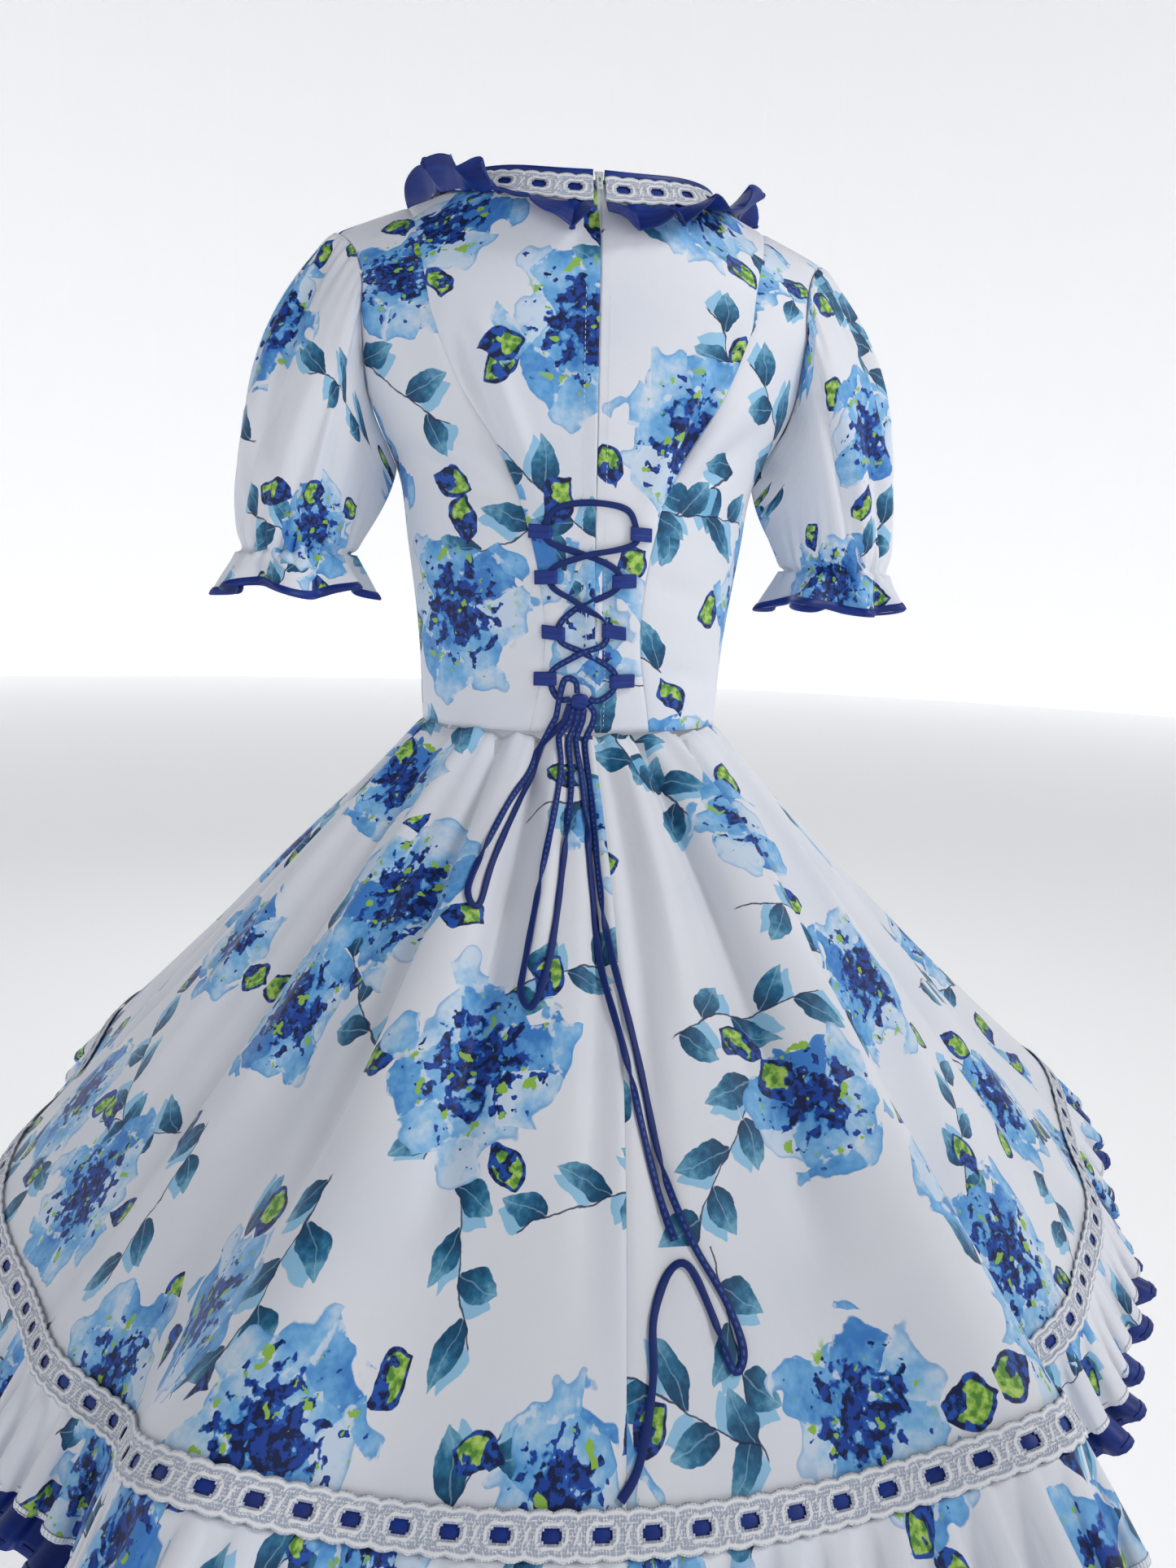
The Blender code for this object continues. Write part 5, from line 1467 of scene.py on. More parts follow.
def smooth_line(values, steps):
    """A smooth line through rows of values, so many steps to each span."""
    line = []
    for i in range(len(values) - 1):
        before, after = values[max(i - 1, 0)], values[min(i + 2, len(values) - 1)]
        slope_in, slope_out = (values[i + 1] - before) / 2, (after - values[i]) / 2
        for k in range(steps):
            t = k / steps
            start = values[i] * (2 * t**3 - 3 * t**2 + 1) + slope_in * (t**3 - 2 * t**2 + t)
            end = values[i + 1] * (3 * t**2 - 2 * t**3) + slope_out * (t**3 - t**2)
            line.append(start + end)
    line.append(values[-1])
    return np.array(line)


def even_line(line, step):
    """The same line with points at even steps of length, given as (along, values)."""
    steps = np.linalg.norm(np.diff(line[:, :3], axis=0), axis=1)
    lengths = np.concatenate([[0], np.cumsum(steps)])
    count = max(int(round(lengths[-1] / step)), 8)
    at = np.linspace(0, lengths[-1], count + 1)
    return at, np.stack([np.interp(at, lengths, line[:, k]) for k in range(line.shape[1])], axis=1)


def cord_line(places, step=0.0020):
    """Centreline of a cord over the cloth with the way out of the cloth along it."""
    table = np.array([(place.across, place.down, place.lift) for place in places])
    dense = smooth_line(table, 14)
    point, out = over_back(dense[:, 0], dense[:, 1], np.interp(dense[:, 2], *SETTLED))
    both = np.concatenate([worn(point), leaned(out, point[:, 2])], axis=1)
    for k in range(3):
        smooth = np.convolve(np.pad(both[:, k], 3, mode="edge"), np.ones(7) / 7, "valid")
        both[3:-3, k] = smooth[3:-3]
        both[:, 3 + k] = np.convolve(np.pad(both[:, 3 + k], 6, mode="edge"),
                                     np.ones(13) / 13, "valid")
    at, values = even_line(both, step)
    return at, values[:, :3], unit(values[:, 3:])


def cord_tube(name, places):
    at, line, out = cord_line(places)
    way = unit(np.gradient(line, axis=0))
    out = unit(out - way * np.sum(out * way, axis=1, keepdims=True))
    side = np.cross(way, out)
    turn = np.zeros(len(at))
    edge_on = np.zeros(len(at))
    for twist in TWISTS[name]:
        part = np.clip((at - twist.at) / twist.length, 0, 1)
        smooth = part * part * (3 - 2 * part)
        turn += 2 * math.pi * twist.turns * smooth
        edge_on += np.sin(math.pi * smooth)
    line = line + out * (0.0009 * edge_on)[:, None]
    pinch = 1.0 + 0.05 * np.sin(at * 190 + len(at)) + 0.03 * np.sin(at * 71)
    rings = []
    around = 2 * math.pi * np.arange(CORD_SIDES) / CORD_SIDES
    for k in range(CORD_SIDES):
        flat = np.sign(np.cos(around[k])) * abs(np.cos(around[k])) ** 0.55 * CORD_WIDTH / 2
        thick = np.sign(np.sin(around[k])) * abs(np.sin(around[k])) ** 0.75 * CORD_THICK / 2
        turned_side = flat * pinch * np.cos(turn) - thick * np.sin(turn)
        turned_out = flat * pinch * np.sin(turn) + thick * np.cos(turn)
        rings.append(line + side * turned_side[:, None] + out * turned_out[:, None])
    place = np.stack(rings, axis=1)
    u = np.arange(CORD_SIDES + 1) / CORD_SIDES
    uv = np.stack(np.broadcast_arrays(u[None, :], at[:, None]), axis=-1)
    count = CORD_SIDES
    cells, corners = [], []
    for r in range(len(at) - 1):
        for c in range(count):
            d = (c + 1) % count
            cells.append((r * count + c, r * count + d, (r + 1) * count + d, (r + 1) * count + c))
            corners += [uv[r, c], uv[r, c + 1], uv[r + 1, c + 1], uv[r + 1, c]]
    cells.append(tuple(range(count))[::-1])
    corners += [uv[0, 0]] * count
    last = (len(at) - 1) * count
    cells.append(tuple(range(last, last + count)))
    corners += [uv[-1, 0]] * count
    mesh = bpy.data.meshes.new(name)
    mesh.from_pydata(place.reshape(-1, 3).tolist(), [], cells)
    layer = mesh.uv_layers.new(name="flat_cloth")
    layer.data.foreach_set("uv", np.array(corners).ravel())
    mesh.update()
    middle = mesh.polygons[(len(at) // 2) * count]
    centre = Vector(line[len(at) // 2])
    if middle.normal.dot(middle.center - centre) < 0:
        mesh.flip_normals()
    mesh.shade_smooth()
    piece = bpy.data.objects.new("cord_" + name, mesh)
    bpy.context.scene.collection.objects.link(piece)
    return piece, line, at[-1]


over = lacing_strand(("right", "left", "right", "left"), 0.0064)
over += [Route(0.0250, -0.0250, 0.0026), knot_side(105)]
under = lacing_strand(("left", "right", "left", "right"), 0.0023)
under += [Route(-0.0040, -0.0250, 0.0040), knot_side(-105)]
ROUTES = {
    "lacing": under[::-1] + list(TOP_BAR) + over,
    "bow_loop_left": [knot_side(165), *BOW_LEFT, knot_side(72)],
    "bow_loop_right": [knot_side(38), *BOW_RIGHT, knot_side(5)],
    "tail_short": [knot_side(-28), *TAIL_SHORT],
    "tail_long": [knot_side(-68), *TAIL_LONG],
}
cords = {}
for name, route in ROUTES.items():
    cords[name] = cord_tube(name, route)
    print(name, len(route), "places,", round(cords[name][2], 3), "m long")

# %% [markdown]
# ## The knot
# The knot is the same flat cord wrapped round the crossing once. It is drawn
# as one rounded lump with two soft grooves, so that it reads as three turns
# lying side by side.

# %% Tie the knot


def tie_knot():
    deselect()
    bpy.ops.mesh.primitive_uv_sphere_add(segments=40, ring_count=24, radius=0.5)
    knot = bpy.context.object
    knot.name = "bow_knot_wrap"
    centre, out = over_back([KNOT.across], [KNOT.down], np.interp(KNOT.lift, *SETTLED))
    aside = over_back([KNOT.across + 0.002], [KNOT.down], 0.003)[0]
    below = over_back([KNOT.across - 0.002], [KNOT.down], 0.003)[0]
    out = leaned(out, centre[:, 2])[0]
    across = unit(worn(aside) - worn(below))[0]
    across = unit(across - out * np.dot(across, out))
    upward = np.cross(out, across)
    place = np.array([vert.co[:] for vert in knot.data.vertices])
    boxy = np.sign(place) * np.abs(place * 2) ** 0.8 / 2
    lean = boxy[:, 1] + 0.25 * boxy[:, 0]
    groove = sum(np.exp(-((lean - at) / 0.045) ** 2) for at in (-0.17, 0.16))
    boxy = boxy * (1 - 0.13 * groove)[:, None]
    boxy = boxy * np.array(KNOT_SIZE)
    turned = worn(centre)[0] + boxy[:, :1] * across + boxy[:, 1:2] * upward + boxy[:, 2:] * out
    for vert, spot in zip(knot.data.vertices, turned):
        vert.co = spot
    knot.data.shade_smooth()
    return knot


knot = tie_knot()
print("knot at", tuple(round(v, 3) for v in knot.data.vertices[0].co))

# %% [markdown]
# ## Zip and stitches
# The zip hides under a lapped edge, so only its slider, its tab and a narrow
# run of coil show. A coil zip really is one plastic thread wound into a
# spiral, so the coil is a spiral here too. The slider and tab are modelled as
# small hard pieces with rounded edges. The tab hangs from a pin on the
# slider, and is a piece of its own because it turns.

# %% Wind the coil and lay its tape
ZIP_FOOT = -0.392
COIL_PITCH = 0.0013
COIL_RADIUS = 0.0007
COIL_THREAD = 0.00028


def centre_back(height):
    """Points on the inner face at the centre back, with ways down and out."""
    height = np.atleast_1d(height).astype(float)
    top = shoulder_height(0.0)
    rise = np.clip((height - ROLL_START) / (top - ROLL_START), 0, 0.9999)
    rolled = roll_depth(1, 0.0) * np.sqrt(1 - rise ** 2)
    y = np.where(height > ROLL_START, rolled, section("back_depth", height))
    return points(0 * height, y, height)


def centre_back_frame(height):
    point = centre_back(height)
    down = unit(centre_back(np.asarray(height) - 0.002) - point)
    return point, down, unit(points(0 * down[:, 0], -down[:, 2], down[:, 1]))


def wind_coil():
    zip_top = float(torso(1, 0.0, neck_share(1, np.array(0.0)))[..., 2])
    heights = np.linspace(zip_top, ZIP_FOOT, 400)
    line, down, out = centre_back_frame(heights)
    lengths = np.concatenate([[0], np.cumsum(np.linalg.norm(np.diff(line, axis=0), axis=1))])
    turns = int(lengths[-1] / COIL_PITCH)
    at = np.linspace(0, lengths[-1], turns * 8 + 1)
    middle = np.stack([np.interp(at, lengths, line[:, k]) for k in range(3)], axis=1)
    way_out = np.stack([np.interp(at, lengths, out[:, k]) for k in range(3)], axis=1)
    way_down = np.stack([np.interp(at, lengths, down[:, k]) for k in range(3)], axis=1)
    spin = 2 * math.pi * at / COIL_PITCH
    side = np.array((1.0, 0, 0))
    spiral = (middle + side * (1.25 * COIL_RADIUS * np.cos(spin))[:, None]
              + way_out * (0.0004 + 0.8 * COIL_RADIUS * np.sin(spin))[:, None])
    rings = []
    for k in range(4):
        turn = math.pi / 2 * k
        radial = side * np.cos(spin)[:, None] + way_out * np.sin(spin)[:, None]
        rings.append(spiral + radial * (COIL_THREAD * math.cos(turn))
                     + way_down * (COIL_THREAD * math.sin(turn)))
    place = np.stack(rings, axis=1)
    count = 4
    cells = [(r * count + c, r * count + (c + 1) % count, (r + 1) * count + (c + 1) % count,
              (r + 1) * count + c) for r in range(len(at) - 1) for c in range(count)]
    mesh = bpy.data.meshes.new("coil")
    mesh.from_pydata(worn(place.reshape(-1, 3)).tolist(), [], cells)
    mesh.shade_smooth()
    coil = bpy.data.objects.new("zip_coil", mesh)
    bpy.context.scene.collection.objects.link(coil)
    rows = [centre_back(heights[::4]) + points(x, 0, 0) - out[::4] * 0.0002
            for x in (-0.0062, -0.0030, 0.0030, 0.0062)]
    tape_place = np.transpose(np.array(rows), (1, 0, 2))
    tape = grid_mesh("zip_tape", worn(tape_place), flat_lengths(tape_place))
    return coil, tape, turns


coil, tape, coil_turns = wind_coil()
print("coil of", coil_turns, "turns")

# %% Sew the topstitching
STITCH = 0.0024
STITCH_STEP = 0.0036
STITCH_WIDTH = 0.00042
StitchLine = namedtuple("StitchLine", "across0 down0 across1 down1")
STITCH_LINES = (
    StitchLine(0.0088, -0.325, 0.0084, -0.004),
    StitchLine(-0.0082, -0.325, -0.0080, -0.004),
    StitchLine(-0.0036, -0.0060, 0.0040, -0.0052),
    StitchLine(-0.0030, -0.0085, 0.0036, -0.0080),
)


def sew(name, lines):
    """Short thread capsules that sink into the cloth at both ends."""
    corners, cells = [], []
    for line in lines:
        length = math.hypot(line.across1 - line.across0, line.down1 - line.down0)
        count = max(int(length / STITCH_STEP), 2)
        share = (np.arange(count) + 0.5) / count
        across = line.across0 + (line.across1 - line.across0) * share
        down = line.down0 + (line.down1 - line.down0) * share
        middle, out = over_back(across, np.minimum(down, -0.0005), 0.0003)
        ahead = over_back(across + (line.across1 - line.across0) * 0.002,
                          np.minimum(down + (line.down1 - line.down0) * 0.002, -0.0004), 0.0003)[0]
        middle, ahead = worn(middle), worn(ahead)
        out = leaned(out, middle[:, 2])
        way = unit(ahead - middle)
        side = np.cross(way, out)
        for k in range(count):
            first = len(corners)
            for part, wide, lift in ((-0.5, 0.35, -0.0001), (-0.25, 0.9, 0.00016),
                                     (0.25, 0.9, 0.00016), (0.5, 0.35, -0.0001)):
                spot = middle[k] + way[k] * STITCH * part
                for aside, up in ((-0.5, 0.0), (0.0, 0.00018), (0.5, 0.0)):
                    corners.append(spot + side[k] * (aside * STITCH_WIDTH * wide)
                                   + out[k] * (lift + up))
            for r in range(3):
                for c in range(2):
                    a = first + r * 3 + c
                    cells.append((a, a + 1, a + 4, a + 3))
    mesh = bpy.data.meshes.new(name)
    mesh.from_pydata([tuple(spot) for spot in corners], [], cells)
    mesh.update()
    if sum(face.normal.y for face in mesh.polygons) < 0:
        mesh.flip_normals()
    mesh.shade_smooth()
    piece = bpy.data.objects.new(name, mesh)
    bpy.context.scene.collection.objects.link(piece)
    return piece


stitches = sew("topstitching", STITCH_LINES)
print(len(stitches.data.polygons) // 6, "stitches")

# %% Model the slider and its pull tab
SLIDER_HEIGHT = -0.010
SLIDER_SIZE = Vector((0.0064, 0.0022, 0.0100))
PIN_RADIUS = 0.0005
PIN_OUT = 0.0016
EYE_RADIUS = 0.0012
EYE_BORE = 0.0008
EYE_WIDTH = 0.0030
TAB_LENGTH = 0.0130
TAB_WIDTH = 0.0050
TAB_THICK = 0.0011
SLOT_LENGTH = 0.0042


def slider_frame():
    point, down, out = centre_back_frame(SLIDER_HEIGHT)
    down, out = Vector(down[0]), Vector(out[0])
    turn = Matrix(((1, 0, 0), (0, out.y, -down.y), (0, out.z, -down.z)))
    start = Matrix.Translation(Vector(point[0])) @ turn.to_4x4()
    lean = math.radians(np.interp(SLIDER_HEIGHT, *TURN_CURVE))
    return Matrix.Rotation(-lean, 4, "Z") @ start


def shaped_block(name, size, place, bevel, taper=1.0, segments=3):
    """A block with rounded edges, its lower end narrowed, in the slider's own frame."""
    deselect()
    bpy.ops.mesh.primitive_cube_add(size=1.0, location=(0, 0, 0))
    piece = bpy.context.object
    piece.name = name
    bpy.ops.object.mode_set(mode="EDIT")
    bpy.ops.mesh.select_all(action="SELECT")
    bpy.ops.transform.resize(value=size)
    bpy.ops.transform.translate(value=place)
    bpy.ops.object.mode_set(mode="OBJECT")
    for vert in piece.data.vertices:
        if vert.co.z < place[2]:
            vert.co.x *= taper
    rounding = piece.modifiers.new("Rounding", "BEVEL")
    rounding.width = bevel
    rounding.segments = segments
    bpy.ops.object.modifier_apply(modifier="Rounding")
    return piece


def cut_or_join(piece, tool, operation):
    step = piece.modifiers.new("Shape", "BOOLEAN")
    step.operation = operation
    step.object = tool
    step.solver = "EXACT"
    deselect()
    bpy.context.view_layer.objects.active = piece
    piece.select_set(True)
    bpy.ops.object.modifier_apply(modifier="Shape")
    bpy.data.objects.remove(tool, do_unlink=True)


def cross_rod(name, radius, length, place):
    deselect()
    bpy.ops.mesh.primitive_cylinder_add(vertices=28, radius=radius, depth=length,
                                        rotation=(0, math.pi / 2, 0))
    rod = bpy.context.object
    rod.name = name
    bpy.ops.object.transform_apply(location=False, rotation=True, scale=False)
    for vert in rod.data.vertices:
        vert.co += Vector(place)
    return rod


def put_in_place(piece, frame_matrix):
    piece.data.transform(frame_matrix)
    deselect()
    bpy.context.view_layer.objects.active = piece
    piece.select_set(True)
    bpy.ops.object.shade_smooth_by_angle(angle=math.radians(35))
    piece.select_set(False)


face = WALL + 0.0003
pin_out = face + SLIDER_SIZE.y + PIN_OUT
slider = shaped_block("slider_body", tuple(SLIDER_SIZE), (0, face + SLIDER_SIZE.y / 2, 0),
                      0.0008, 0.72)
for hand in (-1, 1):
    lug = shaped_block("slider_lug", (0.0009, PIN_OUT + 0.0016, 0.0026),
                       (hand * (EYE_WIDTH / 2 + 0.0008), pin_out - 0.0006, 0), 0.0002)
    cut_or_join(slider, lug, "UNION")
cut_or_join(slider, cross_rod("slider_pin", PIN_RADIUS, EYE_WIDTH + 0.0018, (0, pin_out, 0)),
            "UNION")
hanging = pin_out
tab = shaped_block("tab_plate", (TAB_WIDTH, TAB_THICK, TAB_LENGTH),
                   (0, hanging, -TAB_LENGTH / 2 - 0.0006), 0.00035, 0.80)
cut_or_join(tab, cross_rod("tab_eye", EYE_RADIUS, EYE_WIDTH, (0, hanging, 0)), "UNION")
cut_or_join(tab, cross_rod("eye_bore", EYE_BORE, 0.008, (0, hanging, 0)), "DIFFERENCE")
cut_or_join(tab, shaped_block("tab_slot", (0.0017, 0.004, SLOT_LENGTH),
                              (0, hanging, -0.0048), 0.0003), "DIFFERENCE")
cut_or_join(tab, shaped_block("tab_hole", (0.0016, 0.004, 0.0016),
                              (0, hanging, -TAB_LENGTH * 0.8), 0.0003), "DIFFERENCE")
for piece in (slider, tab):
    put_in_place(piece, slider_frame())
print("slider faces", len(slider.data.polygons), "tab faces", len(tab.data.polygons))

# %% [markdown]
# ## Painting with numbers
# The print is not a picture. Every flower, leaf and bud is drawn by sums on
# the cloth's flat coordinates, so it stays sharp and bends with the cloth. A
# few short helpers add the nodes: one for any node, one for sums, one for
# vectors, one for a soft step from 0 to 1, and one that lays a colour over
# another.

# %% Node helpers


def add_node(tree, kind, inputs=(), **settings):
    item = tree.nodes.new(kind)
    for key, value in settings.items():
        setattr(item, key, value)
    for slot, value in inputs:
        if isinstance(value, bpy.types.NodeSocket):
            tree.links.new(value, item.inputs[slot])
        else:
            item.inputs[slot].default_value = value
    return item


def calc(tree, operation, *values):
    """One sum: the name of a Math operation and its values or sockets."""
    return add_node(tree, "ShaderNodeMath", enumerate(values), operation=operation).outputs[0]


def move(tree, operation, *values):
    item = add_node(tree, "ShaderNodeVectorMath", enumerate(values), operation=operation)
    return item.outputs["Value" if operation == "LENGTH" else "Vector"]


def soft_step(tree, value, low, high):
    """0 below low, 1 above high, smooth between; low above high turns it round."""
    flip = low > high
    item = add_node(tree, "ShaderNodeMapRange", ((0, value), (1, min(low, high)),
                                                 (2, max(low, high)), (3, 1.0 if flip else 0.0),
                                                 (4, 0.0 if flip else 1.0)),
                    interpolation_type="SMOOTHSTEP")
    return item.outputs[0]


def lay_over(tree, share, under, over):
    item = add_node(tree, "ShaderNodeMix", data_type="RGBA")
    for slot, value in ((0, share), (6, under), (7, over)):
        if isinstance(value, bpy.types.NodeSocket):
            tree.links.new(value, item.inputs[slot])
        else:
            item.inputs[slot].default_value = value if slot == 0 else (*value, 1)
    return item.outputs[2]


def ramp(tree, value, *stops):
    """A colour ramp through (place, colour) stops."""
    item = add_node(tree, "ShaderNodeValToRGB", ((0, value),))
    marks = item.color_ramp.elements
    while len(marks) < len(stops):
        marks.new(0.5)
    for mark, (place, colour) in zip(marks, stops):
        mark.position = place
        mark.color = (*colour, 1)
    return item.outputs[0]


def noise(tree, where, scale, detail=2.0, output=0):
    item = add_node(tree, "ShaderNodeTexNoise", (("Vector", where), ("Scale", scale),
                                                 ("Detail", detail)), noise_dimensions="2D")
    return item.outputs[output]


def new_paint(name, roughness, sheen=0.0, sheen_roughness=0.5, specular=0.5):
    """A material with its shader's constants set, and its tree to draw in."""
    paint = bpy.data.materials.new(name)
    paint.use_nodes = True
    shader = paint.node_tree.nodes["Principled BSDF"]
    shader.inputs["Roughness"].default_value = roughness
    shader.inputs["Sheen Weight"].default_value = sheen
    shader.inputs["Sheen Roughness"].default_value = sheen_roughness
    shader.inputs["Specular IOR Level"].default_value = specular
    return paint, paint.node_tree, shader


def flat_cloth(tree):
    return add_node(tree, "ShaderNodeUVMap", uv_map="flat_cloth").outputs[0]


def bumpy(tree, shader, height, distance, strength=1.0):
    bump = add_node(tree, "ShaderNodeBump", (("Height", height), ("Distance", distance),
                                             ("Strength", strength)))
    tree.links.new(bump.outputs[0], shader.inputs["Normal"])


print("node helpers ready")

# %% [markdown]
# ## The watercolour print
# A generic garden print in the photograph's colours: open flowers with pale
# petals and dark hearts, leafy sprays, and buds with green tips, strewn over
# white. Each kind of motif has its own loose grid of places. Every place gets
# a random turn, and the motif is drawn once around the nearest place. Noise
# shifts the coordinates a little, so that edges wander as wet paint does.

# %% Mix the print
WHITE = (0.80, 0.82, 0.875)
NAVY = (0.004, 0.012, 0.070)
ROYAL = (0.006, 0.034, 0.260)
CORD_BLUE = (0.005, 0.022, 0.150)
PALE = (0.420, 0.640, 0.860)
TEAL = (0.005, 0.055, 0.125)
MIST = (0.150, 0.390, 0.560)
LIME = (0.300, 0.540, 0.080)
BLOOM_RADIUS = 0.052
PETAL_SIZE = 0.034
LEAF_LENGTH = 0.040
LEAF_WIDTH = 0.0096
LEAF_PITCH = 0.047
SPRAY_HALF = 0.060
BUD_LENGTH = 0.035
BUD_WIDTH = 0.0125


def motif_places(tree, where, wet, cell, turn, shift, jitter):
    """Coordinates around the nearest place of a loose grid, turned at random."""
    def turned(vector):
        spun = add_node(tree, "ShaderNodeVectorRotate", (("Vector", vector), ("Angle", turn)),
                        rotation_type="Z_AXIS").outputs[0]
        return move(tree, "ADD", spun, (*shift, 0))
    grid = add_node(tree, "ShaderNodeTexVoronoi", (("Vector", turned(where)),
                                                   ("Scale", 1 / cell), ("Randomness", jitter)),
                    voronoi_dimensions="2D")
    local = move(tree, "SUBTRACT", turned(wet), grid.outputs["Position"])
    chance = add_node(tree, "ShaderNodeSeparateXYZ", ((0, grid.outputs["Color"]),))
    angle = calc(tree, "MULTIPLY", chance.outputs[0], 2 * math.pi)
    spun = add_node(tree, "ShaderNodeVectorRotate", (("Vector", local), ("Angle", angle)),
                    rotation_type="Z_AXIS").outputs[0]
    parts = add_node(tree, "ShaderNodeSeparateXYZ", ((0, spun),))
    return spun, parts.outputs[0], parts.outputs[1], chance.outputs[1]


def roughened(tree, value, grain, amount):
    """A value pushed up and down by a noise around 0.5."""
    return calc(tree, "MULTIPLY_ADD", calc(tree, "SUBTRACT", grain, 0.5), amount, value)


def both(tree, *masks):
    product = masks[0]
    for mask in masks[1:]:
        product = calc(tree, "MULTIPLY", product, mask)
    return product


def lay_flowers(tree, under, place, cloud, grain, blotch):
    """Broad wet petals in blues and white, a dense dark heart, a few green touches."""
    spun, chance = place[0], place[3]
    size = calc(tree, "MULTIPLY_ADD", chance, 0.30 * BLOOM_RADIUS, 0.85 * BLOOM_RADIUS)
    radius = calc(tree, "DIVIDE", move(tree, "LENGTH", spun), size)
    inputs = (("Vector", spun), ("Scale", 1 / PETAL_SIZE))
    petal = add_node(tree, "ShaderNodeTexVoronoi", inputs, voronoi_dimensions="2D")
    border = add_node(tree, "ShaderNodeTexVoronoi", inputs, voronoi_dimensions="2D",
                      feature="DISTANCE_TO_EDGE").outputs["Distance"]
    luck = add_node(tree, "ShaderNodeSeparateXYZ", ((0, petal.outputs["Color"]),))
    outline = roughened(tree, roughened(tree, radius, cloud, 0.9), luck.outputs[1], 0.34)
    petals = soft_step(tree, outline, 1.0, 0.975)
    toned = roughened(tree, roughened(tree, luck.outputs[0], grain, 0.50), cloud, 1.1)
    wet = ramp(tree, toned, (0.05, (0.62, 0.74, 0.88)), (0.22, PALE), (0.42, (0.22, 0.50, 0.82)),
               (0.62, (0.13, 0.39, 0.74)), (0.88, (0.05, 0.22, 0.60)))
    rim = soft_step(tree, outline, 0.90, 0.985)
    wet = lay_over(tree, calc(tree, "MULTIPLY", rim, 0.45), wet, (0.07, 0.28, 0.64))
    gap = both(tree, soft_step(tree, roughened(tree, border, grain, 0.12), 0.085, 0.035),
               soft_step(tree, blotch, 0.52, 0.58))
    wet = lay_over(tree, calc(tree, "MULTIPLY", gap, 0.8), wet, (0.70, 0.78, 0.89))
    colour = lay_over(tree, petals, under, wet)
    inward = calc(tree, "MAXIMUM", calc(tree, "MULTIPLY_ADD", radius, -1.55, 1.0), -0.5)
    strewn = move(tree, "ADD", spun, add_node(tree, "ShaderNodeCombineXYZ", (
        (0, calc(tree, "MULTIPLY", chance, 7.0)), (1, 0.0), (2, 0.0))).outputs[0])
    dab = roughened(tree, noise(tree, strewn, 105.0, 2.0), grain, 0.25)
    middle = soft_step(tree, calc(tree, "MULTIPLY_ADD", inward, 0.42, dab), 0.575, 0.60)
    middle = both(tree, middle, soft_step(tree, outline, 0.95, 0.90))
    colour = lay_over(tree, middle, colour, lay_over(
        tree, soft_step(tree, cloud, 0.46, 0.54), (0.018, 0.105, 0.46), (0.05, 0.24, 0.62)))
    dark = both(tree, soft_step(tree, calc(tree, "MULTIPLY_ADD", inward, 0.33, dab), 0.610, 0.630),
                soft_step(tree, outline, 0.95, 0.90))
    colour = lay_over(tree, dark, colour, lay_over(
        tree, soft_step(tree, grain, 0.45, 0.56), NAVY, (0.010, 0.055, 0.330)))
    specks = both(tree, soft_step(tree, roughened(tree, blotch, grain, 0.3), 0.680, 0.695),
                  soft_step(tree, radius, 0.95, 0.80))
    return lay_over(tree, specks, colour, LIME)


